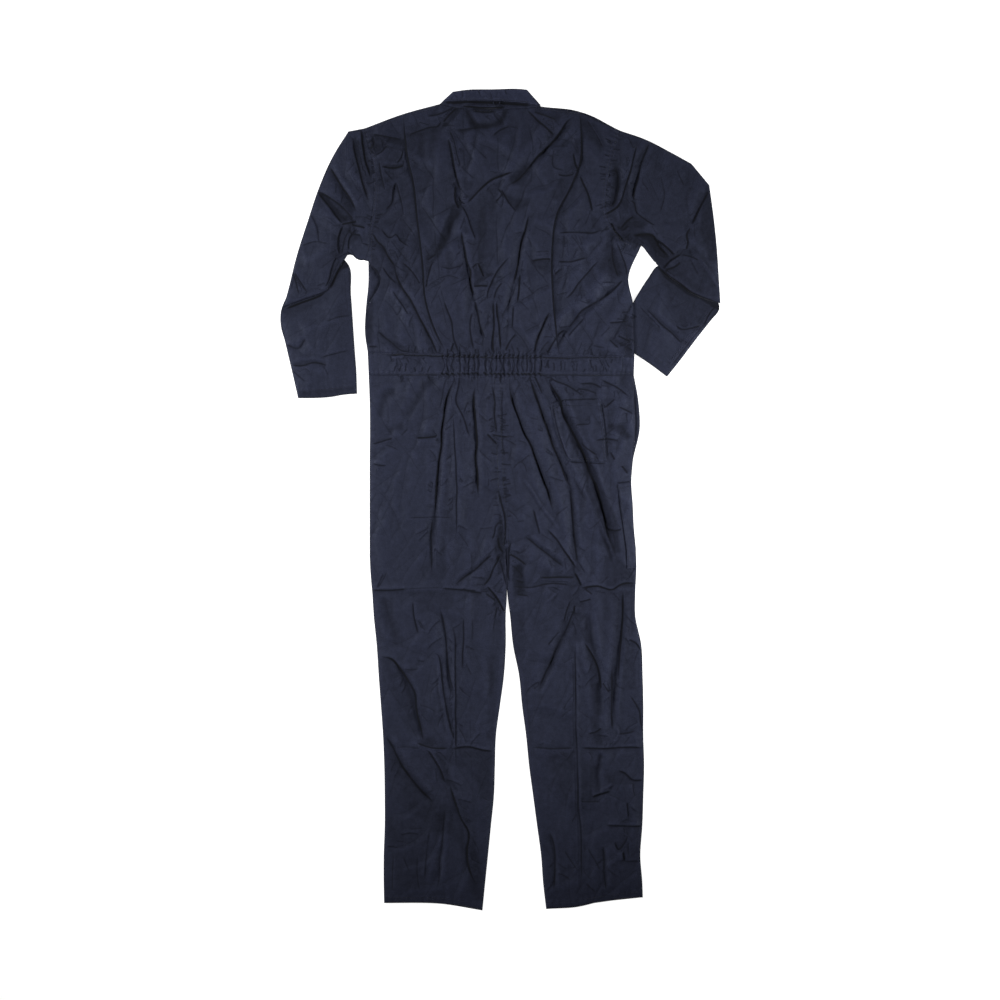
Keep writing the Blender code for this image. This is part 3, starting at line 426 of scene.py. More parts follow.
# Creases: grade, then the places it runs through; a lapped crease has its high side on the left of its run
creases += [
    ("sharp", (372.4, 233), (378, 243), (383.4, 247.7), (388.7, 258), (396, 269)),
    ("lap", (394, 263), (397.3, 277), (403, 289), (411.7, 302), (419.3, 317.6), (427, 333), (434.6, 348),
     (440.4, 360.6)),
    ("sharp", (461.4, 232), (464.3, 250), (466.5, 262), (470, 270.5)),
    ("deep", (468, 266), (470.3, 272), (470, 283), (473.8, 297)),
    ("clear", (474.5, 300), (477, 312), (479.6, 324), (485.3, 340.5)),
    ("sharp", (473, 287.4), (481, 287), (489, 287.4)),
    ("sharp", (493.4, 301), (494.4, 316), (493, 335), (492.5, 344), (494.4, 359)),
    ("sharp", (496.8, 301), (498.7, 330), (500.6, 352)),
    ("sharp", (448, 137), (452, 156.5), (455.7, 175.7), (460.4, 190), (462.4, 194)),
    ("sharp", (455.7, 185), (455.7, 202.5), (459.5, 211)),
    ("lap", (505.7, 189), (517, 181.4), (528.7, 169), (538.3, 157.5), (553.6, 143), (559.3, 134.5),
     (569.8, 121), (576.5, 118)),
    ("sharp", (381, 168), (396, 169), (405, 167)),
    ("clear", (378, 331), (386, 339), (394, 345), (401, 350.6), (411.7, 352.5)),
    ("sharp", (529, 214), (526, 228), (522, 241), (519.6, 252.5), (518, 266), (515.3, 277), (512.4, 287)),
    ("sharp", (520, 275.5), (519, 289), (517, 304)),
    ("sharp", (550, 312), (543, 325), (538, 338), (533.5, 355)),
    ("clear", (623.4, 280), (613, 291), (604, 298), (595.7, 303)),
    ("clear", (600, 300), (590, 306), (580.4, 313), (574.6, 321), (567, 330)),
    ("sharp", (530.6, 262.6), (541, 261), (551.7, 260.7)),
    ("clear", (552, 263), (551, 270), (548, 275)),
    ("clear", (553, 277), (557, 273), (560, 270)),
    ("sharp", (611.5, 226), (616, 234), (623, 243)),
    ("clear", (608, 324), (618.6, 323), (627, 321.4)),
    ("lap", (573, 154), (574.8, 166), (579, 176)),
    ("sharp", (579, 176), (588, 196), (592.5, 214)),
    ("sharp", (443, 124), (450, 116), (456.6, 109.7)),
    ("clear", (442.8, 300), (446, 308), (452.3, 323), (454.2, 339.6), (457.6, 349), (460.4, 358)),
    ("clear", (454, 343), (451, 353)),
    ("clear", (471, 270), (478, 264.5), (481, 268)),
    ("sharp", (478, 263), (480.5, 270), (484.4, 279)),
    ("clear", (472.4, 312), (470.5, 323), (471.4, 338), (473.8, 352)),
    ("clear", (510, 258), (501.6, 267), (495, 276), (490, 287), (487, 296.5), (487, 304)),
    ("clear", (449, 130), (453.8, 142), (457.6, 158), (461.4, 170)),
    ("clear", (461.4, 206), (467, 216), (471, 228), (475.8, 242)),
    ("sharp", (525.8, 110.6), (538.3, 123), (556.4, 138.4)),
    ("clear", (532.5, 113), (544, 117), (556.4, 121)),
    ("faint", (583, 176), (589, 190), (592, 203)),
    ("faint", (419, 123.5), (430, 127)),
    ("clear", (408, 137), (431, 129), (438, 128), (442, 121)),
    ("clear", (427, 118), (441, 115), (455.7, 107.7)),
    ("clear", (372, 135.5), (388.7, 139), (402, 141)),
    ("clear", (375.8, 156.5), (383, 152.7), (387.7, 147)),
    ("clear", (379, 162), (380.6, 172), (383, 183), (385.8, 193)),
    ("clear", (396, 183), (393.5, 193), (392.5, 203), (385.8, 212)),
    ("clear", (396, 183), (401, 200), (404, 219)),
    ("clear", (381, 230), (391.6, 239), (396.4, 236), (401, 242), (410.7, 249)),
    ("faint", (395, 251), (399, 262)),
    ("clear", (382, 267), (388.7, 276), (398, 285)),
    ("clear", (402, 263), (413.6, 274), (421, 287)),
    ("clear", (392.5, 291), (401, 303), (409.7, 317)),
    ("clear", (368.6, 347), (378, 347)),
    ("sharp", (391.6, 356), (406, 355)),
    ("clear", (513.4, 306), (512, 330)),
    ("clear", (516.3, 334), (508.6, 344), (504.8, 353)),
    ("clear", (566, 329.5), (558.4, 335), (551.7, 345), (547, 355)),
    ("clear", (599.5, 261), (586, 275.5), (576.5, 287), (570.8, 295), (564, 301)),
    ("clear", (585, 317.6), (576.5, 327), (567, 338)),
    ("clear", (556, 235), (567, 234), (581, 234.5), (594, 234), (602, 230.5)),
    ("faint", (535, 253.5), (551, 252.5)),
    ("clear", (556, 263), (572, 262.6), (587, 259)),
    ("faint", (554.5, 277), (562, 270)),
    ("clear", (611, 245), (612, 258), (615, 270), (618.6, 279)),
    ("clear", (615.8, 243), (620.5, 255), (625, 266), (627, 277)),
    ("faint", (625, 325), (633, 328)),
    ("faint", (599.5, 338), (610, 327)),
    ("clear", (608, 340), (617.7, 349)),
    ("clear", (616.7, 336), (631, 342.5)),
    ("faint", (592, 346), (605, 349)),
    ("clear", (493, 138), (500, 132), (510, 127)),
    ("faint", (470, 144), (488, 162)),
    ("faint", (455.7, 132), (475, 130), (492, 130)),
    ("faint", (554.5, 149), (554, 169), (565, 173)),
    ("faint", (563.6, 235), (564, 250.6)),
    ("soft", (460.4, 211), (448, 234), (442.3, 246), (437.5, 254)),
    ("clear", (436.5, 256), (427.4, 261.6)),
    ("deep", (514, 173.5), (503, 177), (493, 181), (482, 189.5), (473, 198.5), (466, 206)),
    ("clear", (466, 206), (461, 203), (458.5, 197)),
    ("soft", (470, 118), (475, 126), (489, 126), (500, 120), (505, 112)),
    ("soft", (371, 140), (380, 148), (389, 146)),
    ("soft", (590, 122), (600, 136), (604, 150)),
    ("clear", (586, 120), (596, 136), (603, 150)),
    ("clear", (501, 190), (508, 203), (517, 214)),
    ("clear", (369, 354.3), (400, 355.8), (443, 357.3), (495, 358.6), (560, 358.4), (633, 358.2)),
    ("faint", (369, 375.8), (443, 375.9), (540, 375.9), (633, 375.8)),
    ("sharp", (405, 147), (407.5, 158), (409.3, 169), (413, 182)),
    ("clear", (404, 152), (401, 160), (397, 166)),
    ("clear", (372, 136), (374, 146), (371, 150), (376, 157)),
    ("clear", (557, 176), (566, 178), (574, 176)),
    ("clear", (495, 203), (502, 196), (498, 190)),
    ("faint", (440, 268), (452, 270), (462, 266)),
    ("faint", (438, 281), (450, 277), (461, 281)),
    ("clear", (502, 283), (497, 290), (494, 301)),
    ("faint", (420, 244), (413, 256), (409, 263)),
    ("clear", (426, 292), (431, 270), (434, 262)),
]
# Seams: half spacing of twin needles (0: one row), raised band, pucker and its pitch, in mm; then its places
seams += [
    (0, 0.4, 0.15, 17, (364, 133.2), (379, 127.4), (403, 120), (422, 113.6), (441, 109)),
    (0, 0.4, 0.15, 17, (541, 111.5), (562, 113), (579.4, 116.3), (595.7, 122), (608, 127.3), (619, 134.6)),
    (2.6, 0.7, 0.8, 10, (366.4, 131), (369.6, 142), (375.6, 165), (377.2, 190), (375.2, 215), (370.7, 240),
     (370.9, 262)),
    (2.6, 0.7, 0.8, 9, (618, 133), (613.7, 142.4), (608.9, 163), (604.7, 190), (604, 213), (616, 237.5),
     (639, 248)),
    (0, 0.6, 0.5, 12, (631.5, 304), (626.5, 324), (625.5, 340), (624.6, 355.6)),
]

# --- Back legs --------------------------------------------------------------------------------------------
# Two long panels of the same twill, joined down the seat by a flat-felled seam and open below the fork. Each
# has a pressed crease down its middle and a turned hem with one row of stitching.

# Side seam, long crease, inner crease, seat seam and inside leg
LEG_LEFT = [
    [(369, 375.4), (456, 375.4), (478, 375.4), (496, 375.4)],
    [(370, 402), (447, 402), (474, 402), (495.5, 402)],
    [(370.3, 430), (442, 430), (476.5, 430), (497, 430)],
    [(370, 462), (439, 462), (477, 462), (498, 462)],
    [(370, 484), (436.6, 484), (478, 484), (498.8, 484)],
    [(370, 508), (435.5, 508), (479, 508), (501, 506)],
    [(370, 532), (432, 531), (479, 530), (505.3, 528)],
    [(370, 556), (432, 555), (478, 553), (506, 549)],
    [(371, 575), (432.5, 575), (474, 574), (506.95, 569)],
    [(372.5, 592), (436, 592), (470, 592), (507.05, 590)],
    [(374, 615), (442, 615), (466, 615), (505.8, 615)],
    [(377, 645), (446.7, 645), (463.5, 645), (505.8, 645)],
    [(379, 675), (450, 675), (464, 675), (504, 675)],
    [(381.2, 705), (455, 705), (470, 705), (500, 705)],
    [(383.3, 735), (456, 735), (472, 735), (496, 735)],
    [(384.5, 765), (456.7, 765), (473, 765), (495, 765)],
    [(385, 795), (454, 795), (472, 795), (494, 795)],
    [(385, 825), (448, 825), (468, 825), (491, 825)],
    [(384, 855), (443, 855), (467, 855), (488, 855)],
    [(384, 882), (440, 882), (470, 883), (485, 884)],
    [(384.4, 902), (438, 902.5), (466, 905.8), (482.5, 909.5)],
]
# Seat seam and inside leg, inner crease, pocket edge, long crease, pocket edge, side seam
LEG_RIGHT = [
    [(496, 375.4), (508, 375.4), (535, 375.4), (543, 375.4), (600, 375.4), (633.5, 375.4)],
    [(495.5, 402), (513, 403), (549, 403.5), (558.5, 401.5), (600, 399.5), (634, 400)],
    [(497, 430), (523, 430), (555.5, 431), (571, 430), (604, 430), (635, 429)],
    [(498, 462), (537, 462), (567, 461.4), (586.5, 462), (607, 462.4), (632.5, 462)],
    [(498.8, 484), (545, 484), (574, 484), (594.8, 484), (617, 484), (631, 482)],
    [(501, 506), (552, 508), (580, 507), (601.5, 506), (619.6, 506), (632.5, 505)],
    [(505.3, 528), (557, 530), (586, 529), (607, 528), (622.8, 527), (633.5, 527)],
    [(506, 549), (563, 550), (592, 550), (613.5, 549), (625.8, 548), (635.5, 548)],
    [(506.95, 569), (568, 570), (595, 570), (617.5, 570), (626.7, 569), (636, 569)],
    [(507.1, 590), (573, 592), (597, 592), (621, 592), (628.5, 592), (635, 592)],
    [(510, 615), (574, 615), (597, 615), (621.8, 615), (629, 615), (635, 615)],
    [(513, 645), (573.7, 645), (597, 645), (620, 645), (631, 645), (641, 645)],
    [(519, 675), (573.7, 675), (595, 675), (616.5, 675), (630, 675), (642.3, 675)],
    [(522, 705), (574.2, 705), (593, 705), (612, 705), (628, 705), (643, 705)],
    [(526, 735), (575, 735), (594, 735), (613, 735), (628, 735), (643, 735)],
    [(529, 765), (576, 765), (595, 765), (613, 765), (629, 765), (643.8, 765)],
    [(533, 795), (577, 795), (595, 795), (612, 795), (628, 795), (643, 795)],
    [(537, 825), (579, 825), (595, 825), (611, 825), (627, 825), (642, 825)],
    [(541, 855), (579.6, 855), (595, 855), (610, 855), (626, 855), (640, 855)],
    [(543, 882), (580, 882), (594, 882), (608, 882), (625, 882), (642, 882)],
    [(546, 908), (582, 905), (594, 902), (607, 900.2), (625, 897.4), (642.5, 896.4)],
]
FORK_ROW = 7
leg_left = net(LEG_LEFT, BACK_FINE, (FORK_ROW,))
leg_right = net(LEG_RIGHT, BACK_FINE, (FORK_ROW,), (2, 4))
back_leg_left = cut("back_leg_left_cloth", leg_left, body_twill)
back_leg_right = cut("back_leg_right_cloth", leg_right, body_twill)
lies_for(back_leg_left, "back_leg_left")
lies_for(back_leg_right, "back_leg_right")
for leg, side, inside in ((LEG_LEFT, 0, -1), (LEG_RIGHT, -1, 0)):
    outline = np.array(leg, float)
    rims += [outline[:, side], outline[FORK_ROW:, inside], outline[-1]]
folds += [
    ("valley", 9, 4, (457, 376), (446, 404), (441.7, 432), (438.6, 465), (435.6, 508), (431.7, 554),
     (432, 573)),
    ("valley", 9, 4, (476, 384), (474, 402.5), (476.5, 430), (477.4, 474), (478.6, 499)),
    ("ridge", 14, 5, (453.3, 413), (455, 447), (457, 489), (456.5, 540)),
    ("ridge", 12, 3, (488, 400), (489, 450), (491, 500)),
    ("ridge", 8, 2, (373, 588.5), (415, 588), (451, 588.5)),
    ("valley", 8, 3, (454, 586), (473, 571), (494, 553)),
    ("valley", 9, 3.5, (439.6, 608), (446.7, 641), (449.8, 678), (454, 700)),
    ("ridge", 8, 3, (455, 618), (456, 692), (456.5, 769)),
    ("valley", 13, 4, (394.7, 663), (407, 685), (416, 717), (423, 742)),
    ("valley", 11, 3.5, (385.5, 734), (403.6, 766), (424, 792), (435, 802)),
    ("ridge", 9, 3.5, (450, 780), (462, 819), (468, 845), (475, 885)),
    ("valley", 8, 2.5, (445, 806), (440.5, 864), (438, 889)),
    ("valley", 8, 4, (509, 381), (519.6, 421), (534, 455), (547, 490), (554, 514)),
    ("valley", 8, 3.5, (524.7, 375), (539, 406), (553, 447), (568.6, 484), (573, 526), (577.8, 567)),
    ("valley", 11, 6, (541, 370), (558.5, 401), (571, 430), (586, 462), (595, 485), (603, 513),
     (612.5, 545.5)),
    ("ridge", 9, 3.5, (534, 380), (552, 420), (570, 462), (585, 494), (597, 521), (611, 551)),
    ("ridge", 10, 3.5, (516, 390), (530, 425), (547, 468), (560, 505), (566, 540)),
    ("valley", 8, 3, (523.7, 535), (541, 548.6), (564.5, 568)),
    ("valley", 9, 4, (571, 618), (557, 647), (544, 678), (535.7, 694)),
    ("ridge", 7, 3, (575, 629), (575, 692), (577, 746), (580, 810), (581, 890)),
    ("valley", 8, 4.5, (620.6, 587), (622, 615), (619, 650), (614, 690), (612, 732)),
    ("valley", 10, 3, (588, 612), (592, 644), (599, 673), (600, 717)),
    ("valley", 8, 2.5, (600, 750), (597, 775), (600, 800)),
    ("valley", 8, 2.5, (548.7, 829), (554.7, 869), (553.6, 889)),
    ("valley", 8, 2.5, (603, 844), (605, 866), (606.7, 889)),
]
creases += [
    ("faint", (448, 375), (444.8, 386), (442, 401), (439.5, 411)),
    ("lap", (435, 519), (435.6, 508), (436.8, 479), (438.6, 465), (440.8, 447), (441.7, 432),
     (443.5, 418.6), (445.7, 404), (450, 390), (457.3, 376)),
    ("clear", (433, 515), (431.7, 527), (431.7, 554), (432, 573)),
    ("clear", (460, 374), (458.7, 385), (456.4, 402), (462.7, 416), (466.3, 425), (469, 434), (471.6, 439)),
    ("faint", (469, 401), (463.6, 414)),
    ("deep", (476, 384), (473.8, 395), (473.8, 402.5), (475, 416), (476.5, 429), (477.4, 443), (476, 456),
     (477.4, 474), (477.7, 484), (478.6, 499)),
    ("clear", (453.3, 413), (454.2, 429), (455, 447), (456.4, 465), (457, 489), (456.6, 508), (456.6, 527),
     (456.6, 540)),
    ("sharp", (416, 438), (424, 438), (438.6, 436.4)),
    ("sharp", (486.8, 434), (497.5, 444.5)),
    ("clear", (371.6, 444.5), (378, 443), (387, 440), (394, 438)),
    ("soft", (387, 433), (396, 428), (405.5, 426)),
    ("faint", (402, 435.5), (409, 429)),
    ("soft", (438.6, 373), (433, 377), (430.5, 383), (426, 385.5), (420.7, 395), (413.6, 406),
     (404.6, 420)),
    ("soft", (398, 391), (389.5, 394.5), (384, 402), (379.6, 419)),
    ("clear", (373, 463), (378, 465), (387, 466)),
    ("faint", (408, 517.5), (430, 517), (453, 517.5)),
    ("lap", (554, 514), (551, 503), (547, 490), (543, 480), (538, 466.5), (534, 455), (528.8, 442),
     (523.7, 432), (519.6, 421), (514.5, 407), (510.4, 393), (509, 381)),
    ("lap", (573.7, 489), (568.6, 484), (559.4, 462), (553, 447), (548, 432), (544, 421), (539, 406),
     (534, 393), (529.8, 381), (524.7, 375)),
    ("clear", (570, 488), (571, 506), (573, 526), (575, 546.5), (577.8, 567)),
    ("clear", (534, 375), (537, 384), (542, 396)),
    ("deep", (543, 374), (550, 383), (555, 393), (559.4, 400), (563.5, 415.5), (570.6, 429), (577.8, 443),
     (584, 457), (592, 479), (596, 485), (600, 501), (603, 513), (605, 525), (608.4, 536), (612.5, 545.5)),
    ("clear", (547, 375), (555, 381), (566.5, 386), (577.8, 393), (584, 398)),
    ("crest", (569.6, 470), (585, 494.5), (597, 521), (605, 536), (611.4, 551.6), (617.6, 571)),
    ("crest", (521.6, 477), (531, 490), (541, 506), (553, 521), (561, 533)),
    ("sharp", (546, 528), (557, 540), (565.5, 553), (576.7, 569)),
    ("clear", (523.7, 535), (541, 548.6), (564.5, 568)),
    ("clear", (533, 509), (536, 521), (540, 535)),
    ("sharp", (508.4, 553), (517.6, 558), (526, 565)),
    ("clear", (511, 541), (509, 552), (509, 567)),
    ("soft", (518, 562), (520, 578), (520, 595)),
    ("clear", (497.7, 536), (500, 546.5), (503, 553.7)),
    ("clear", (454, 586), (473, 571), (483, 562), (494, 553)),
    ("lap", (486, 585), (498, 599), (505, 612.5)),
    ("clear", (485, 593), (497, 601)),
    ("clear", (498, 604), (494, 620)),
    ("clear", (498.7, 554), (494, 566), (489.6, 574)),
    ("clear", (371, 590), (390, 590), (408, 588.5)),
    ("faint", (402, 589), (425, 587.5), (446, 588)),
    ("clear", (440, 588), (460, 589.5), (480, 591)),
    ("faint", (478, 590.5), (492, 592), (505, 592)),
    ("clear", (461, 588), (470, 591), (483, 593)),
    ("clear", (511, 586), (530, 587), (551, 583), (571.6, 585)),
    ("sharp", (579, 588), (597, 586), (612, 589), (620, 584), (635.5, 583)),
    ("sharp", (538, 578), (556, 577), (576, 577)),
    ("sharp", (574, 572), (578, 579), (581, 586)),
    ("clear", (584, 588), (592, 594.5)),
    ("clear", (579, 601.6), (591, 598.6)),
    ("crest", (545.6, 603), (553, 595), (561, 587)),
    ("clear", (440, 606), (443.7, 623), (446.7, 645), (449, 671), (455.5, 696)),
    ("clear", (450.8, 618), (455, 636), (455.4, 661), (456, 692), (456, 722), (456, 760), (456.7, 769.5)),
    ("clear", (464, 615), (463.6, 641), (462.6, 671)),
    ("faint", (472, 618), (472.8, 641)),
    ("clear", (413, 600), (415, 620), (419, 634)),
    ("soft", (383, 595), (390, 618), (397, 640)),
    ("deep", (380, 656), (392, 658.5), (401, 669), (409, 681), (415, 692), (416.5, 706), (420, 724),
     (425, 741)),
    ("sharp", (417, 741), (431, 746), (449, 747)),
    ("faint", (418, 660), (425, 661)),
    ("clear", (431, 653), (438, 654), (441, 664), (442, 680), (445, 698), (449, 716), (453, 738)),
    ("crest", (438.6, 661), (439.6, 682), (442.7, 702), (446.7, 722), (449.8, 738)),
    ("clear", (444.7, 699), (449.8, 722), (455, 741)),
    ("soft", (489.6, 651), (491.6, 671), (490.6, 702)),
    ("faint", (495.7, 610), (492.7, 631)),
    ("deep", (385.5, 734), (393.7, 747), (395, 750), (403.6, 766), (413.4, 780), (424, 792), (435, 802)),
    ("faint", (384, 747), (393, 746.5), (423, 747)),
    ("sharp", (450, 747), (470, 746), (482.4, 749), (494, 750.5)),
    ("lap", (427, 747), (435.5, 760), (439.4, 766), (446, 782.5)),
    ("deep", (450, 780), (455.6, 801), (462, 819), (468.7, 832), (467, 847), (472, 875), (478, 885.5)),
    ("faint", (483, 797), (490, 800)),
    ("faint", (400, 834), (411, 832), (420, 833.5)),
    ("faint", (396, 840), (407, 841)),
    ("faint", (387, 845), (398, 846.5)),
    ("faint", (410, 828), (423, 827.5)),
    ("faint", (445, 806), (442.6, 837), (440.5, 864), (438, 889)),
    ("faint", (430, 828), (426, 858), (425, 878)),
    ("faint", (417.7, 853), (417.7, 875), (420, 890)),
    ("faint", (403.6, 855), (410, 870)),
    ("faint", (394, 853), (393, 872), (393, 891)),
    ("clear", (570.4, 600), (566, 612), (563, 622)),
    ("sharp", (574.5, 605), (573.5, 613)),
    ("clear", (576.6, 603.6), (571, 616), (566, 628), (557, 645), (546, 671), (537, 691)),
    ("clear", (575.2, 629), (574.8, 661), (575.2, 692), (575.7, 722), (576.7, 746), (577.6, 782),
     (578.2, 810), (580.2, 826), (580.8, 840), (581.2, 896)),
    ("faint", (573, 629), (572.5, 661), (573, 692), (573.5, 722), (574.5, 746), (575.4, 782), (576, 810),
     (578, 826), (578.6, 840), (579, 896)),
    ("sharp", (583.7, 641), (590, 651), (595, 661), (599, 673.5), (601, 692)),
    ("soft", (584.7, 610), (588, 629), (592, 644), (597, 654)),
    ("soft", (596, 680), (598, 702), (600, 717)),
    ("clear", (602, 681), (609, 693)),
    ("sharp", (622.4, 589.5), (622.6, 604), (622.2, 620), (620.4, 645), (619, 662), (617.6, 680)),
    ("clear", (611.7, 663), (611.4, 692), (611.4, 722), (612, 732)),
    ("crest", (613, 724.5), (618, 732), (609, 747)),
    ("clear", (617, 733), (626.5, 732), (634.7, 730)),
    ("clear", (627.6, 639), (635.7, 643), (640, 650)),
    ("clear", (628.6, 694), (635.7, 704), (639, 710), (640, 722), (642, 731)),
    ("clear", (588, 733), (595, 731), (602, 726.5)),
    ("clear", (531, 747), (552, 747.5), (576, 747)),
    ("clear", (578, 747), (605, 747.5), (628, 746.5), (643, 747)),
    ("clear", (546.9, 645), (554, 636), (560, 630)),
    ("soft", (600, 750), (599, 766), (596, 777), (600, 789)),
    ("crest", (600, 790), (613, 782.5)),
    ("sharp", (591.6, 795.5), (600, 793), (610, 790)),
    ("clear", (579.6, 800), (600, 800)),
    ("clear", (617.6, 769.5), (624, 772), (632.7, 779), (642.5, 779)),
    ("clear", (626, 801), (628, 817)),
    ("clear", (604.6, 824), (624, 824.6), (642.5, 825)),
    ("faint", (624, 825), (624, 832)),
    ("faint", (628, 840), (628, 854)),
    ("sharp", (622.5, 850), (623.2, 855), (623.5, 859.5)),
    ("faint", (623.5, 859.5), (632, 859.8), (640, 859.5)),
    ("clear", (614, 840), (618.7, 848), (624, 842), (628, 833.5)),
    ("clear", (548.7, 829), (553.6, 843), (554.7, 869), (553.6, 891)),
    ("faint", (564, 848), (571, 859.5), (578.5, 871)),
    ("clear", (603.5, 844), (603.5, 869), (606.7, 890)),
    ("faint", (586, 845), (600, 870)),
    ("faint", (585, 881), (595, 891)),
    ("clear", (574.7, 425), (589.5, 425)),
    ("faint", (589, 415.5), (589.5, 425)),
    ("clear", (579, 442), (585, 448), (598, 455)),
    ("clear", (607, 528), (613.5, 530), (621.6, 528.7)),
    ("soft", (606, 427), (622.7, 428), (630, 440)),
    ("clear", (595, 440.5), (605, 439), (619.6, 441)),
    ("clear", (604, 408), (615.5, 399)),
    ("clear", (600, 380), (617.6, 389), (628, 397)),
    ("clear", (574, 389), (584, 390), (597, 394)),
    ("clear", (578, 384), (592, 384), (602, 389)),
    ("clear", (617.6, 407), (633, 414.5)),
    ("clear", (610, 452), (614.5, 460)),
    ("sharp", (620.6, 465.5), (628, 474)),
    ("clear", (492, 385), (493.5, 393), (494.7, 403), (494.2, 412), (495.5, 425), (497, 437)),
    ("faint", (502, 384), (502, 400), (501.5, 420), (502.5, 440), (504, 462)),
    ("clear", (491, 435), (500, 436.5), (509, 437)),
    ("sharp", (498.3, 490.3), (501.7, 503.7), (504.2, 513.7), (505.3, 525.3), (504.7, 538.7),
     (503.7, 548.7)),
    ("clear", (500.8, 521.2), (495.8, 526.2), (494.2, 533.7), (491.7, 539.5)),
    ("sharp", (497.5, 536.2), (499.2, 545.3), (503.7, 553.7)),
    ("sharp", (501, 554), (497.5, 561), (494, 567), (490, 577), (482, 587)),
    ("clear", (498.3, 555.3), (501.7, 567), (504.7, 578.7), (505.8, 585.3)),
    ("clear", (513.3, 540.3), (510, 545.3), (508.3, 553.7), (508.7, 563.7), (508.3, 575.3), (509.7, 583.7)),
    ("spur", (511.7, 470.3), (520, 462), (524.2, 465.3), (526.7, 473.7)),
    ("spur", (520, 462), (531.7, 453.7)),
    ("faint", (516.7, 521.2), (524.2, 520.3)),
    ("clear", (515.8, 580.3), (524.2, 582)),
    ("clear", (516.7, 593.7), (528.3, 595.3)),
    ("spur", (494, 472.5), (501.5, 472)),
    ("spur", (489, 478), (488.5, 487)),
]
seams += [
    (5.6, 0.8, 0.7, 6.5, (497.4, 377), (497.4, 402), (498.3, 430), (500, 462), (500.8, 484), (502.6, 506),
     (505.3, 528), (506, 547)),
    (0, 0.6, 0.3, 14, (385, 896), (438, 896.6), (466, 899.8), (484.5, 903.6)),
    (0, 0.6, 0.3, 14, (545, 901.8), (582, 899), (594, 896), (607, 894.2), (625, 891.4), (642, 890.4)),
]

# --- Back waistband ---------------------------------------------------------------------------------------
# A separate band of the twill, plain at the sides and gathered over a wide elastic at the middle, with one
# row of stitching along each long edge.
BAND_PAINTED_LIGHT = 1.12  # painted light over the whole band: share of the navy
BAND_TOP, BAND_FOOT = 356, 375.4  # rows of the chart
GATHER, GATHER_RUN = 2.6, 6.0  # height mm; squares over which a gather dies out above and below the band
GATHERS = (  # the valleys between them
    443, 448, 454, 460, 465, 469, 474, 478, 486, 492, 496,
    500, 504, 509, 513, 518, 523, 526.5, 530, 535, 540.5,
)
DRAWN = (396, 564, 588, 607, 621)  # where the plain sides are drawn in
BAND = [
    [(368, 352.5), (443, 355.05), (495, 356.8), (540.5, 356.8), (634, 356.8)],
    [(369, 375.4), (443, 375.4), (495, 375.4), (540.5, 375.4), (633.5, 375.4)],
]


def painted_tone(tone):
    """The navy, lighter or darker: light or shade painted over a whole piece."""
    return tuple(tone * part for part in NAVY)


band = net(BAND, (0.9, 1.1), (), (2,))
band_lit_twill = twill("waistband_lit_twill", painted_tone(BAND_PAINTED_LIGHT))
back_waistband = cut("back_waistband_cloth", band, band_lit_twill)
lies_for(back_waistband, "back_waistband")
rims += [np.array([BAND[0][0], BAND[1][0]], float), np.array([BAND[0][-1], BAND[1][-1]], float)]
for number, column in enumerate(GATHERS):
    lean = (1.7, -2.2, 0.5, -2.5, 1.0)[number % 5]
    bow = (1.5, -1.2, -1.8, 0.8, 1.9, -0.7, 1.1)[number % 7]
    high, low = (1, 4, -1, 6)[number % 4], (2, 7, 0, 4, 1)[number % 5]
    grade = ("gather", "tuck", "gather")[number % 3]
    creases.append((grade, (column + lean, 355 - high), (column + lean / 3, 359), (column + bow, 365.5),
                    (column - lean / 3, 373), (column - lean / 1.5, 375 + low)))
    for top, side in ((356.6, 1.8), (374.6, -1.7)):  # pinched where the band is sewn on
        creases.append(("pinch", (column + side - 1.2, top - 1.4), (column + side * 0.4, top),
                        (column - side * 0.5, top + 1.2)))
creases += [("spur", (column, 357), (column + 0.8, 365), (column, 373)) for column in DRAWN]
seams += [
    (0, 0.5, 0.5, 9, (368, 354), (443, 356.5), (495, 358.3), (634, 358.3)),
    (0, 0.5, 0.5, 9, (369, 373.8), (500, 373.8), (633.5, 373.8)),
]


def gathers(places):
    """Height of the gathers at these places."""
    valleys = np.array(GATHERS)
    columns = np.clip(places[..., 0], valleys[0], valleys[-1])
    which = np.clip(np.searchsorted(valleys, columns, side="right") - 1, 0, len(valleys) - 2)
    wide = valleys[which + 1] - valleys[which]
    beyond = np.maximum(np.maximum(BAND_TOP - places[..., 1], places[..., 1] - BAND_FOOT), 0)
    bump = np.sqrt(np.abs(np.sin(np.pi * (columns - valleys[which]) / wide))) * (wide / wide.mean()) ** 0.5
    return GATHER * bump * np.exp(-((beyond / GATHER_RUN) ** 2))


# --- Hip pocket and rule pocket ---------------------------------------------------------------------------
# Patch pockets of the twill on the right leg, their tops turned and stitched. The hip pocket is sewn down
# with twin rows, the long narrow one for a rule with one row, and that one is caught in the side seam.
def block(table, fine, rows, guides):
    """The part of a net between two sections and two guides."""
    table = np.array(table, float)
    down = np.cumsum([0] + [len(span) for span in even_cuts(table, 0, fine[1])])
    across = np.cumsum([0] + [len(span) for span in even_cuts(table, 1, fine[0])])
    return np.s_[down[rows[0]]:down[rows[1]] + 1, across[guides[0]]:across[guides[1]] + 1]


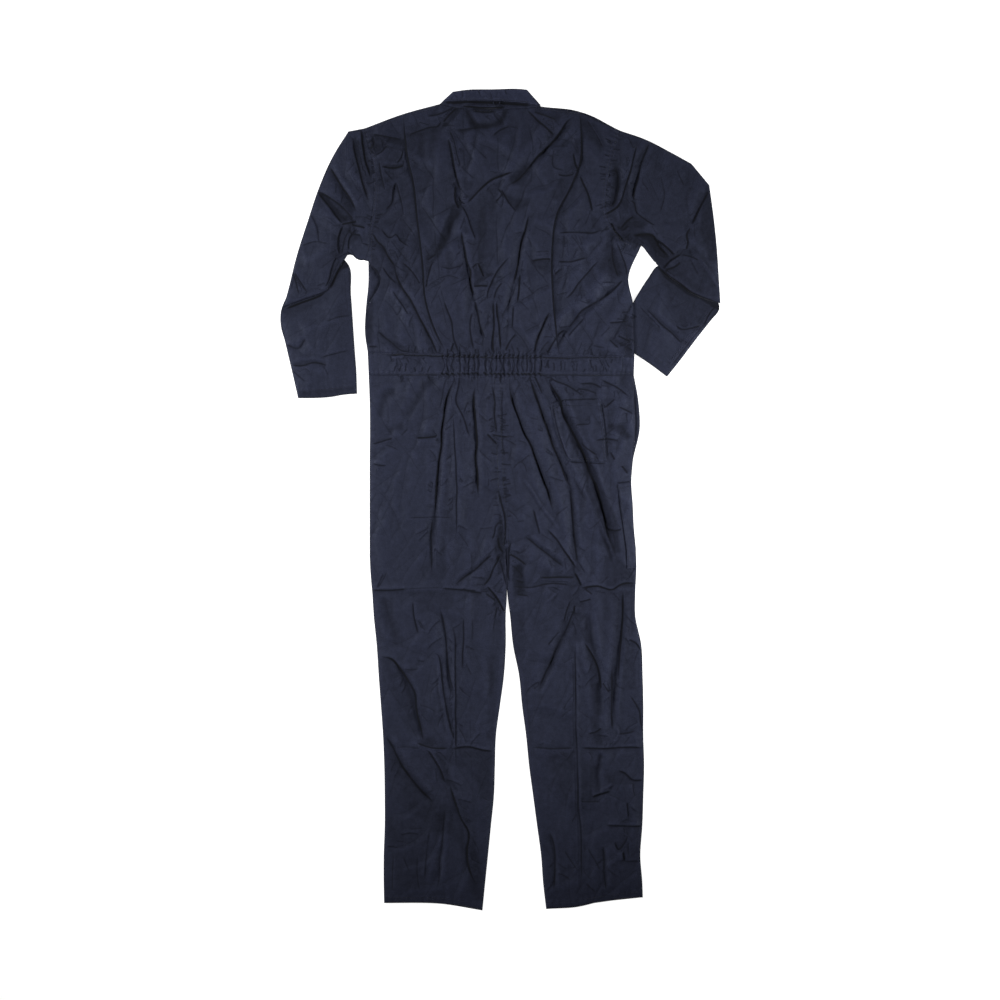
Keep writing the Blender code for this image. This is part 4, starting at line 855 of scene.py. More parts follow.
pocket_twill = twill("pocket_twill", NAVY, fade=1.4)
hip_net = leg_right[block(LEG_RIGHT, BACK_FINE, (1, 3), (2, 4))]
rule_net = leg_right[block(LEG_RIGHT, BACK_FINE, (4, 8), (4, 5))]
hip_pocket = cut("hip_pocket_cloth", hip_net, pocket_twill, "patch")
rule_pocket = cut("rule_pocket_cloth", rule_net, pocket_twill, "patch")
lies_for(hip_pocket, "hip_pocket")
lies_for(rule_pocket, "rule_pocket")
# The pocket edges get painted shade lines along them.
creases += [  # their edges stand over the cloth below
    ("edge", (550, 402.8), (558.5, 401), (580, 400), (600, 399)),
    ("edge", (551.5, 404), (558, 432), (567, 457), (571, 462)),
    ("edge", (568, 462.4), (588, 462.8), (607, 463.2)),
    ("edge", (600.8, 400), (604.8, 430), (607.8, 461)),
    ("edge", (616.6, 484), (619.2, 506), (622.4, 527), (625.3, 548), (626.4, 568)),
    ("edge", (616, 483), (624, 482.4), (632, 481.4)),
]
seams += [
    (2.4, 0.3, 0.25, 9, (551.2, 404.5), (557.8, 431), (569.4, 460)),
    (2.4, 0.3, 0.25, 9, (569.6, 459.4), (588, 459.8), (605.4, 460.4)),
    (2.4, 0.3, 0.25, 9, (597.8, 401), (601.8, 430), (604.8, 459)),
    (0, 0.4, 0.3, 12, (551, 409.5), (559.5, 407), (580, 406.2), (600, 405)),
    (0, 0.3, 0.25, 9, (618.6, 485.5), (621.1, 506), (624.3, 527), (627.3, 548), (628.2, 567)),
    (0, 0.3, 0.2, 9, (627.6, 566.8), (635.4, 566.8)),
    (0, 0.3, 0.2, 9, (618, 488), (631, 486)),
]

# --- Sleeves ----------------------------------------------------------------------------------------------
# Two-piece work sleeves, flattened and folded back at the elbow, so that the upper part laps the forearm. The
# cuffs are plain turned hems. The right cuff lies tucked under the body, which climbs over it.
SLEEVE_PAINTED_SHADE = 0.94  # painted shade over the whole sleeves: share of the navy

# Rows from the armhole to the elbow fold; seven guides from the shoulder to the underarm
SLEEVE_LEFT = [
    [(365, 129.3), (367.8, 142), (373.5, 165), (375, 190), (373, 215), (368.5, 240), (368.7, 262)],
    [(348.8, 132.3), (352, 148), (357, 170), (361, 193), (362, 216), (362, 238), (364.3, 260.8)],
    [(334, 156), (338, 168), (345, 185), (350, 204), (354, 222), (357, 240), (360, 260.8)],
    [(320, 187), (326, 196), (334, 208), (341, 221), (347, 233), (352, 245), (356, 258.8)],
    [(308.5, 221), (315, 226), (325, 233), (334, 241), (341, 248), (347, 253), (352.5, 255.5)],
    [(297, 257.5), (304, 261), (314, 262), (325, 262.5), (333, 262), (340, 259), (350, 254.3)],
    [(288.6, 291.5), (297, 288.5), (307, 284.5), (318.5, 277), (327, 269.5), (334, 262.5), (348.6, 253.4)],
    [(284, 308), (293, 304.5), (305, 300), (317, 296), (327.5, 292), (338, 273), (348.6, 254.6)],
]
SLEEVE_RIGHT = [
    [(619.9, 131.6), (615.8, 142.4), (611, 163), (606.8, 190), (606, 213), (618, 236), (641, 246)],
    [(645, 140.3), (643, 152), (636, 170), (630, 193), (627, 213), (632, 231), (643, 248)],
    [(670, 153), (666, 166), (658, 182), (651, 200), (646, 216), (644, 232), (646, 252)],
    [(691, 164.6), (690, 182), (680, 197), (669, 212), (661, 225), (654, 238), (648.5, 255.3)],
    [(708.8, 186), (702, 200), (692, 213), (679, 226), (668, 236), (659, 246), (651, 258.5)],
    [(713, 217), (704, 226), (694, 235), (681, 243), (670, 249), (661.5, 254), (652.4, 260.3)],
    [(716, 246), (708, 252), (696, 257), (684, 261), (674, 261), (664, 259), (653.6, 261.8)],
    [(718.7, 287), (709, 285.5), (699, 280.5), (688, 274.5), (679, 267.5), (668.5, 260.5), (654.8, 262.8)],
    [(719.8, 304), (709, 301.5), (699, 298), (689, 293), (679, 285.5), (668, 277), (655.8, 264.8)],
]
# How far each row is raised to pass over the forearm, mm
SLEEVE_LIFT_LEFT = (0, 0, 0, 0.1, 0.6, 1.5, 2.35, 2.35)
SLEEVE_LIFT_RIGHT = (0, 0, 0, 0, 0.2, 0.8, 1.6, 2.35, 2.35)
# Rows from just inside the elbow fold to the cuff; five guides from the outer edge to the inner one
FOREARM_LEFT = [
    [(287.5, 296), (307, 289), (321, 280), (332, 267.5), (343.5, 258.5)],
    [(281.4, 312.5), (301, 305.5), (321, 297.5), (338, 281), (349.2, 266)],
    [(281.2, 325), (300, 322), (320, 315), (338, 305), (351.2, 293)],
    [(285.5, 342), (303, 341), (321, 337), (338, 331), (353.2, 322)],
    [(289.5, 359), (305, 359.5), (322, 357.5), (339, 354), (355, 349)],
    [(293.9, 377.7), (308, 378.5), (324, 377.5), (340, 375), (356.7, 372)],
    [(298.6, 398.4), (313, 398.4), (331.8, 397.2), (343, 395.2), (357.4, 394)],
]
FOREARM_RIGHT = [
    [(714, 295), (701, 288.8), (689, 281.5), (677, 272.5), (664.5, 264)],
    [(718.8, 308.5), (703, 302), (688, 294.5), (672, 281.5), (655.8, 267.5)],
    [(709, 322.5), (694, 311), (679, 300.5), (664, 289.5), (648.5, 277.5)],
    [(697.6, 337), (683, 325), (668, 313.5), (654, 302.5), (640, 290.3)],
    [(687, 351), (672.5, 339.5), (658, 328.5), (644.5, 318), (631, 306)],
    [(677.5, 363.5), (663.5, 352.5), (649, 342), (635.5, 332), (622.5, 322)],
    [(666.6, 377), (650.8, 365.2), (633.4, 353.4), (623, 346.5), (613, 339.5)],
]
FOREARM_RISE = (0, 0, 0.8, 1, 1, 1, 1)  # fullness of each row: none where the elbow fold lies on it
TUCK_EDGE, TUCK_RUN = 642.0, 14.0  # the right forearm is level left of this column, full after the run
SLEEVE_FINE = (1.1, 1.3)


def row_values(values, table, fine):
    """One value for each section, spread over the rows of its net."""
    cuts = even_cuts(np.array(table, float), 0, fine[1])
    rows = [i + t for i, span in enumerate(cuts) for t in span] + [len(cuts)]
    return np.interp(rows, np.arange(len(values)), values)[:, None]


def smooth_step(t):
    """A soft step from 0 to 1."""
    t = np.clip(t, 0, 1)
    return t * t * (3 - 2 * t)


SLEEVE_SIDES = {
    "left": (SLEEVE_LEFT, SLEEVE_LIFT_LEFT, FOREARM_LEFT, (0.28, 0.40), 0.0372, (0.18, 0.285), 0.034),
    "right": (SLEEVE_RIGHT, SLEEVE_LIFT_RIGHT, FOREARM_RIGHT, (0.29, 0.47), 0.0544, (0.17, 0.21), 0.0283),
}
# Rows and guides where the outline turns sharply
SLEEVE_CORNERS = {"left": ((1,), (4,)), "right": ((3, 4), ())}
sleeve_shaded_twill = twill("sleeve_shaded_twill", painted_tone(SLEEVE_PAINTED_SHADE))
for side, (sleeve, lift, forearm, upper_flat, upper_area, lower_flat, lower_area) in SLEEVE_SIDES.items():
    upper_net = net(sleeve, SLEEVE_FINE, *SLEEVE_CORNERS[side])
    upper_part = cut(f"sleeve_{side}_upper_cloth", upper_net, sleeve_shaded_twill,
                     lift=row_values(lift, sleeve, SLEEVE_FINE))
    lower_net = net(forearm, SLEEVE_FINE)
    full = row_values(FOREARM_RISE, forearm, SLEEVE_FINE)
    if side == "right":
        full = full * smooth_step((lower_net[..., 0] - TUCK_EDGE) / TUCK_RUN)
    lower_part = cut(f"sleeve_{side}_forearm_cloth", lower_net, sleeve_shaded_twill, fullness=full)
    lies_for(upper_part, f"sleeve_{side}_upper")
    lies_for(lower_part, f"sleeve_{side}_forearm")
    sleeve, forearm = np.array(sleeve, float), np.array(forearm, float)
    rims += [sleeve[:, 0], sleeve[:, -1], sleeve[-1], forearm[1:, 0], forearm[1:, -1], forearm[-1]]
folds += [
    ("valley", 8, 3, (329.4, 166), (343, 189), (357, 213.8)),
    ("valley", 10, 4, (318, 192), (334, 210), (350, 224)),
    ("valley", 7, 2.5, (354.8, 136), (359, 168), (369, 203)),
    ("ridge", 14, 3, (300, 262), (318, 256), (340, 240)),
    ("valley", 7, 2, (286, 345), (299, 348), (307, 338.7)),
    ("valley", 7, 2, (291.7, 366), (313.4, 363), (328.5, 365.8)),
    ("ridge", 12, 2.5, (300, 330), (325, 325), (345, 318)),
    ("valley", 8, 3.5, (615, 165.6), (619, 178), (616, 195), (610.8, 210.4)),
    ("valley", 8, 2.5, (649, 142), (641.5, 164), (633, 196), (636.5, 218)),
    ("ridge", 11, 3, (636.5, 144), (629, 176), (620, 205)),
    ("valley", 8, 3, (707.8, 192), (699.5, 208), (690.4, 227)),
    ("ridge", 10, 3.5, (690, 251), (707.3, 272), (716, 284)),
    ("valley", 8, 3, (631, 236), (652, 236), (663, 254)),
    ("valley", 8, 2.5, (650, 312), (665, 327), (683.5, 344.7)),
]
creases += [
    ("lap", (371.3, 180), (369.6, 173.6), (366.4, 163), (363.8, 150), (361, 129)),
    ("sharp", (353.5, 138), (354.9, 150), (359.3, 168), (363.5, 185), (369, 203)),
    ("faint", (358, 146), (360.5, 158), (363, 172)),
    ("deep", (329.4, 166), (336, 177), (343, 189), (350.4, 200), (357, 213.8)),
    ("sharp", (318, 191), (330, 199), (341, 207), (357, 224)),
    ("sharp", (318, 192), (330, 208), (343.5, 226)),
    ("deep", (341, 225.4), (349, 224.4), (358, 222.6)),
    ("sharp", (351.7, 226), (366.4, 229)),
    ("clear", (350.8, 226.7), (352, 234), (362, 236.5)),
    ("sharp", (343.5, 226), (340, 236), (339, 246), (341, 256)),
    ("clear", (352, 228), (346, 240), (343, 256)),
    ("clear", (357, 230), (350, 240), (349, 252)),
    ("faint", (286, 345), (299, 349), (307, 338.7)),
    ("clear", (291.7, 366), (304.7, 366), (313.4, 363), (328.5, 365.8)),
    ("faint", (322, 358), (336, 354), (350, 351)),
    ("faint", (293, 371), (306, 382)),
    ("clear", (294, 271), (301, 283), (308, 294)),
    ("faint", (311, 214), (318, 229), (320, 246)),
    ("faint", (302, 247), (315, 243), (330, 245)),
    ("faint", (326, 323), (338, 318), (352, 316)),
    ("clear", (614, 166), (618, 178), (616.6, 194.6), (610.8, 210.4)),
    ("lap", (600, 217.8), (616.6, 208), (625, 188), (629, 176.4), (633, 160), (636.5, 144)),
    ("sharp", (649, 142.4), (641.5, 164), (637.3, 182), (633.2, 196), (634, 205)),
    ("clear", (628, 201), (633, 203), (636, 214), (644, 221), (656, 228)),
    ("sharp", (707.8, 191), (699.5, 208), (690.4, 227)),
    ("sharp", (690, 228), (686, 236), (687, 244), (685, 252)),
    ("crest", (687, 246), (697.6, 259), (707.3, 272), (718.7, 289)),
    ("deep", (631, 237), (642, 235.6), (652, 236.5), (659, 248), (668, 258)),
    ("sharp", (653, 238), (663, 246), (674, 257)),
    ("sharp", (662, 271), (670, 262), (681, 255)),
    ("sharp", (663, 271.5), (674, 268), (680, 263)),
    ("clear", (681, 256), (690, 258), (698, 262)),
    ("clear", (685.6, 234), (686, 251)),
    ("clear", (645, 308), (657, 321), (671, 334), (683.5, 346)),
    ("faint", (638, 306), (650, 318), (662, 330)),
    ("soft", (633.6, 306.7), (645.5, 319.7), (660.7, 333.8)),
    ("clear", (673.7, 325), (680, 329.5), (692, 328.4), (700.8, 326)),
    ("deep", (611, 222), (614, 231), (619, 237), (624, 244)),
    ("sharp", (619.6, 230), (627, 222), (634, 217)),
    ("clear", (621.5, 232), (629, 226)),
    ("faint", (660, 176), (664, 196), (660, 214)),
    ("faint", (676, 170), (684, 188)),
    ("clear", (716, 306), (708, 316), (703, 326)),
    ("clear", (338, 256), (333, 268), (329, 281), (325, 289)),
    ("clear", (291, 268), (296, 281), (300, 296)),
    ("faint", (713.5, 312), (700, 329), (684, 350), (669, 369.5)),
]
creases += [  # in the shadow of the laps at the elbows
    ("shadow", (285, 309.8), (293, 307), (306, 301.5), (323, 295), (327, 292.5)),
    ("shadow", (329.5, 290.5), (338.5, 272.5), (345, 262), (349, 256.5)),
    ("shadow", (655.5, 266), (666, 275.5), (678, 284), (689, 291.5), (700, 297.5), (717, 303.5)),
]
seams += [
    (0, 0.6, 0.35, 12, (298, 390.2), (318.8, 390.2), (331.8, 389.2), (346, 386.8), (356.4, 386.2)),
    (0, 0.6, 0.35, 12, (619, 333.5), (637.9, 346.7), (655.2, 358.5), (670.2, 369.4)),
    (1.8, 0.4, 0.3, 10, (706.5, 315.2), (694, 331), (682.8, 345.2), (670.5, 361.5)),
]

# --- Front, lying on the floor ----------------------------------------------------------------------------
# The halves of the front, the under halves of the sleeves and the plain closing placket: the same twill,
# pressed flat by the back on it. It only shows as an edge under the left arm and at the right side opening.

# Side, shoulder, neck point, three along the neckline, front edge
FRONT_BODICE_LEFT = [
    [(365, 129.3), (400, 117.2), (440, 105.6), (446.5, 122.5), (456, 135.5), (470.5, 144.8),
     (487.9, 149.8)],
    [(367.8, 142), (402, 140), (436, 138), (445, 146), (456, 153), (471, 158), (487.9, 162)],
    [(373.5, 165), (404, 165), (434, 165), (445, 169), (457, 173), (472, 176), (487.9, 178)],
    [(375, 190), (404, 190), (434, 190), (445, 192), (457, 194), (472, 195), (487.9, 196)],
    [(373, 215), (404, 215), (434, 215), (445, 216), (457, 216), (472, 217), (487.9, 217)],
    [(368.5, 240), (403, 240), (434, 240), (445, 240), (457, 240), (472, 240), (487.9, 240)],
    [(368.7, 262), (403, 262), (434, 262), (445, 262), (457, 262), (472, 262), (487.9, 262)],
    [(368.6, 285), (403, 285), (434, 285), (445, 285), (457, 285), (472, 285), (487.9, 285)],
    [(366.5, 306), (403, 307), (434, 308), (445, 308), (457, 308), (472, 308), (487.9, 308)],
    [(365.3, 332), (403, 332), (434, 332), (445, 332), (457, 332), (472, 332), (487.9, 332)],
    [(368, 352.5), (403, 353.1), (434, 353.6), (445, 353.8), (457, 354), (472, 354.2), (487.9, 354.5)],
]
# Front edge, three along the neckline, neck point; then the back bodice's last two guides
FRONT_BODICE_RIGHT = [
    [(512.1, 149.8), (527, 145), (538, 134), (541, 120), (541, 108.2)],
    [(512.1, 162), (526, 158), (538, 152), (546, 144), (552, 138)],
    [(512.1, 178), (525, 176), (537, 172), (546, 168), (553, 165)],
    [(512.1, 196), (524, 195), (534, 193), (542, 192), (549, 191)],
    [(512.1, 217), (522, 217), (531, 216), (538, 215), (544, 215)],
    [(512.1, 240), (522, 240), (531, 240), (537, 240), (543, 240)],
    [(512.1, 262), (521, 262), (530, 262), (536, 262), (542, 262)],
    [(512.1, 285), (521, 285), (530, 285), (536, 285), (542, 285)],
    [(512.1, 308), (521, 308), (530, 308), (536, 308), (543, 308)],
    [(512.1, 332), (521, 332), (530, 332), (536, 332), (544, 332)],
    [(512.1, 356.8), (521, 356.8), (530, 356.8), (536, 356.8), (544, 356.8)],
]
FLY_EDGES, FLY_END_ROW = (487.9, 512.1), 5
OPENING_RIGHT = {1: (638.0, 400.5), 2: (639.5, 428.0)}
PLACKET_ROWS, PLACKET_POINT = (150, 196, 262, 332, 355, 375.4, 430, 484, 506), [(502.4, 524), (506.3, 524)]
UNDER_FINE = (3.4, 3.8)
under_twill = twill("under_twill", NAVY, fade=0.4)


def front_leg(back, seat, side, fly, opening=None):
    """A front leg: the back leg's outline, with the placket's edge for the seat seam above the fork."""
    rows = []
    for i, row in enumerate(back):
        inner = row[seat] if i > FLY_END_ROW else (fly, row[seat][1])
        edge = (opening or {}).get(i, row[side])
        middle = ((inner[0] + edge[0]) / 2, (inner[1] + edge[1]) / 2)
        if i == len(back) - 1:  # the hem follows the back's
            middle = row[len(row) // 2 + min(seat, 0)]
        rows.append([edge, middle, inner])
    return rows


leg_corners = (FLY_END_ROW, FLY_END_ROW + 1, FORK_ROW)
FRONTS = {
    "front_bodice_left": (FRONT_BODICE_LEFT, (UNDERARM_ROW,), (2,), (0.31, 0.53), 0.120),
    "front_bodice_right": (
        [front + back[-2:] for front, back in zip(FRONT_BODICE_RIGHT, BODICE)],
        (UNDERARM_ROW,), (4, 5), (0.30, 0.54), 0.114,
    ),
    "front_leg_left": (front_leg(LEG_LEFT, -1, 0, FLY_EDGES[0]), leg_corners, (), (0.28, 1.13), 0.277),
    "front_leg_right": (
        front_leg(LEG_RIGHT, 0, -1, FLY_EDGES[1], OPENING_RIGHT), leg_corners, (), (0.29, 1.13), 0.277),
    "front_waistband_left": (
        [[BAND[0][0], (487.9, 354.5)], [BAND[1][0], (487.9, 375.4)]], (), (), (0.25, 0.048), 0.0115),
    "front_waistband_right": (
        [[(512.1, 356.8), *BAND[0][-2:]], [(512.1, 375.4), *BAND[1][-2:]]], (), (), (0.256, 0.04), 0.01),
    "front_placket": (
        [[(edge, row) for edge in FLY_EDGES] for row in PLACKET_ROWS] + [PLACKET_POINT],
        tuple(range(10)), (), (0.051, 0.79), 0.0385,
    ),
    "sleeve_left_upper_under": (SLEEVE_LEFT[:-1], (1,), (), (0.28, 0.37), 0.0328),
    "sleeve_right_upper_under": (SLEEVE_RIGHT[:-1], (3, 4), (), (0.29, 0.45), 0.0496),
    "sleeve_left_forearm_under": (FOREARM_LEFT, (), (), (0.18, 0.285), 0.034),
    "sleeve_right_forearm_under": (FOREARM_RIGHT, (), (), (0.17, 0.21), 0.0283),
}
CLIMBING = ("front_bodice_right", "front_waistband_right")
for name, (table, rows, guides, flat, area) in FRONTS.items():
    front = cut(f"{name}_cloth", net(table, UNDER_FINE, rows, guides), under_twill,
                "climbing" if name in CLIMBING else "under")
    lies_for(front, name)
PLACKET_SEAMS = [(0, 0.2, 0, 9, (489.5, 152), (489.5, 506)), (0, 0.2, 0, 9, (510.5, 152), (510.5, 506))]

# --- Collar -----------------------------------------------------------------------------------------------
# A two-piece collar with fused layers, so it lies smoother than the body. The leaf is turned down over the
# stand and edge stitched. The collar's front ends lie below them, round the neck.
LEAF_PAINTED_LIGHT, LEAF_THICK, FINE_PITCH = 1.7, 1.5, 0.0008  # painted light over the leaf as a share of the navy, mm, metres between twill lines
LEAF = [
    [(453, 93), (463, 91.5), (495, 90.5), (519, 90.2), (526.8, 90.9)],
    [(443, 102.2), (457, 102.2), (494, 102.2), (524, 104.4), (540.7, 106.6)],
]
STAND = [
    [(449, 96.5), (460, 95), (493, 95), (522, 95), (530, 97.5)],
    [(440, 105), (456, 109), (492, 110.5), (530, 109), (541, 107.6)],
]
COLLAR_FRONTS = {
    "left": [
        [(440, 105.6), (453.5, 96)],
        [(446.5, 122.5), (461.5, 111)],
        [(456, 135.5), (468, 122)],
        [(470.5, 144.8), (478, 131)],
        [(487.9, 149.8), (489, 135)],
    ],
    "right": [
        [(511, 135), (512.1, 149.8)],
        [(520, 131.5), (527, 145)],
        [(526, 123.5), (538, 134)],
        [(528, 111), (541, 120)],
        [(527, 96), (541, 108.2)],
    ],
}
collar_twill = twill("collar_twill", NAVY, FINE_PITCH, 1.2)
leaf_lit_twill = twill("collar_leaf_lit_twill", painted_tone(LEAF_PAINTED_LIGHT), FINE_PITCH, 1.2)
collar_leaf = cut("collar_leaf_cloth", net(LEAF, (1.0, 0.8), (), (2,)), leaf_lit_twill, "leaf", thick=LEAF_THICK)
collar_stand = cut("collar_stand_cloth", net(STAND, (1.0, 0.8), (), (2,)), collar_twill)
lies_for(collar_leaf, "collar_leaf")
lies_for(collar_stand, "collar_stand")
for side, table in COLLAR_FRONTS.items():
    front_net = net(table, (1.5, 1.5), tuple(range(5)))
    collar_front = cut(f"collar_front_{side}_cloth", front_net, collar_twill, "under")
    lies_for(collar_front, f"collar_front_{side}")
rims.append(np.array([STAND[1][0], LEAF[1][0], *LEAF[0], STAND[1][-1]], float))
creases += [  # below the leaf and at the neck seam
    ("shadow", (441, 103.8), (457, 104.2), (476, 104.2), (494, 104.3), (510, 105.4), (524, 106.4),
     (536, 107.6)),
    ("deep", (461, 108.4), (470, 109), (482, 109.5), (494, 109.6), (507, 108.6)),
    ("clear", (472, 112.4), (483, 113.8), (496, 113)),
    ("faint", (462, 91), (463.5, 97), (462, 101.5)),
    ("faint", (478, 91), (479.5, 96)),
    ("faint", (490, 93), (493, 102)),
    ("faint", (505, 91), (506.5, 96.5)),
]
seams += [
    (0, 0, 0.1, 9, (446.5, 101.2), (457, 101), (494, 101), (524, 103.1), (535.5, 104.6)),
    (0, 0, 0.1, 9, (474, 112.2), (484, 112.8), (494.5, 112.4)),
]

# --- Laying the suit --------------------------------------------------------------------------------------
# The suit is laid face down and patted flat: the back swells a little over the front, falls to it at the free
# edges, climbs over the tucked cuff, and takes its folds, creases, seam puckers and soft rumples.
BED, CLOTH_DEEP, SLEEVE_STACK = 1.9, 2.0, 4.2  # mm: underside of the back, its depth, a whole forearm
SWELL, SWELL_RUN, FOLD_RUN, CREASE_RUN = 4.4, 42.0, 14.0, 3.5  # mm
FOLDS_UP, RUMPLES_UP, CREASES_UP = 1.5, 1.2, 1.25  # how strongly each kind is drawn
LOWEST, HIGHEST = -1.1, 16.0  # how far creases sink the cloth and folds raise it, mm
LOW_EASE, HIGH_EASE = 0.8, 4.0  # mm over which the cloth comes to those limits
EDGE_ROLL, EDGE_RUN = 1.5, 1.6  # free edges roll down, mm
HEM_PEEP = -700  # the front is darkest where the back overhangs it, but not at the hems below this, mm
PEEP_DARK, HEM_DARK, PEEP_RUN = 0.85, 0.3, 4.5  # shade there and at the hems; mm from the edge
HOLLOW_DARK, HOLLOW_DEEP, RIDGE_HIGH = 0.24, 0.9, 0.6  # painted shade of a full hollow; mm to a full hollow, and to a full ridge with its painted highlight and wear
NO_CREASE, NO_SEAM, NO_RIM = 30.0, 99.0, 400.0  # the distance where none is near, mm
LIFT_FLAT, LIFT_RUN = 21.0, 19.0  # the body lies level this far round the cuff, then comes down, mm
TUCKED = [(656, 266), (631, 306), (614, 338), (634.7, 351.2), (667.8, 374.5), (719, 308)]
LEAF_LIFT, PATCH_LIFT, FRONT_TOP = 2.4, 1.15, 1.05  # mm
PUCKER_RUN = 7.5  # mm over which puckers die out beside their seam
FACET, FACET_LINE = 0.055, 0.24  # rise of a facet to its width, how dark the painted shade lines between them are
CRUMPLED, CRUMPLED_REACH = (500, 250), (260, 330)  # the back crumples most here; reach across and along, mm
# grade: half width mm, depth mm, share that is a lap and not a plain valley, how dark its painted line of
# shade and the painted shade beside it
GRADES = {
    "shadow": (3.6, 1.0, 0.6, 1.0, 0.95),
    "deep": (2.7, 2.2, 0.7, 1.0, 0.5),
    "lap": (2.5, 2.0, 1.0, 0.95, 0.4),
    "sharp": (2.4, 2.0, 0.85, 0.85, 0.4),
    "clear": (2.3, 1.4, 0.8, 0.6, 0.3),
    "faint": (2.2, 0.8, 0.6, 0.32, 0.16),
    "soft": (8.5, 2.0, 0.0, 0.0, 0.18),
    "crest": (2.6, -1.8, 0.0, 0.0, 0.0),
    "gather": (1.8, 0.7, 0.3, 0.46, 0.14),
    "tuck": (1.7, 0.5, 0.3, 0.4, 0.12),
    "pinch": (1.8, 0.5, 0.2, 0.8, 0.4),
    "spur": (1.9, 0.8, 0.8, 0.26, 0.12),
    "edge": (1.8, 0.3, 0.8, 0.5, 0.2),
}
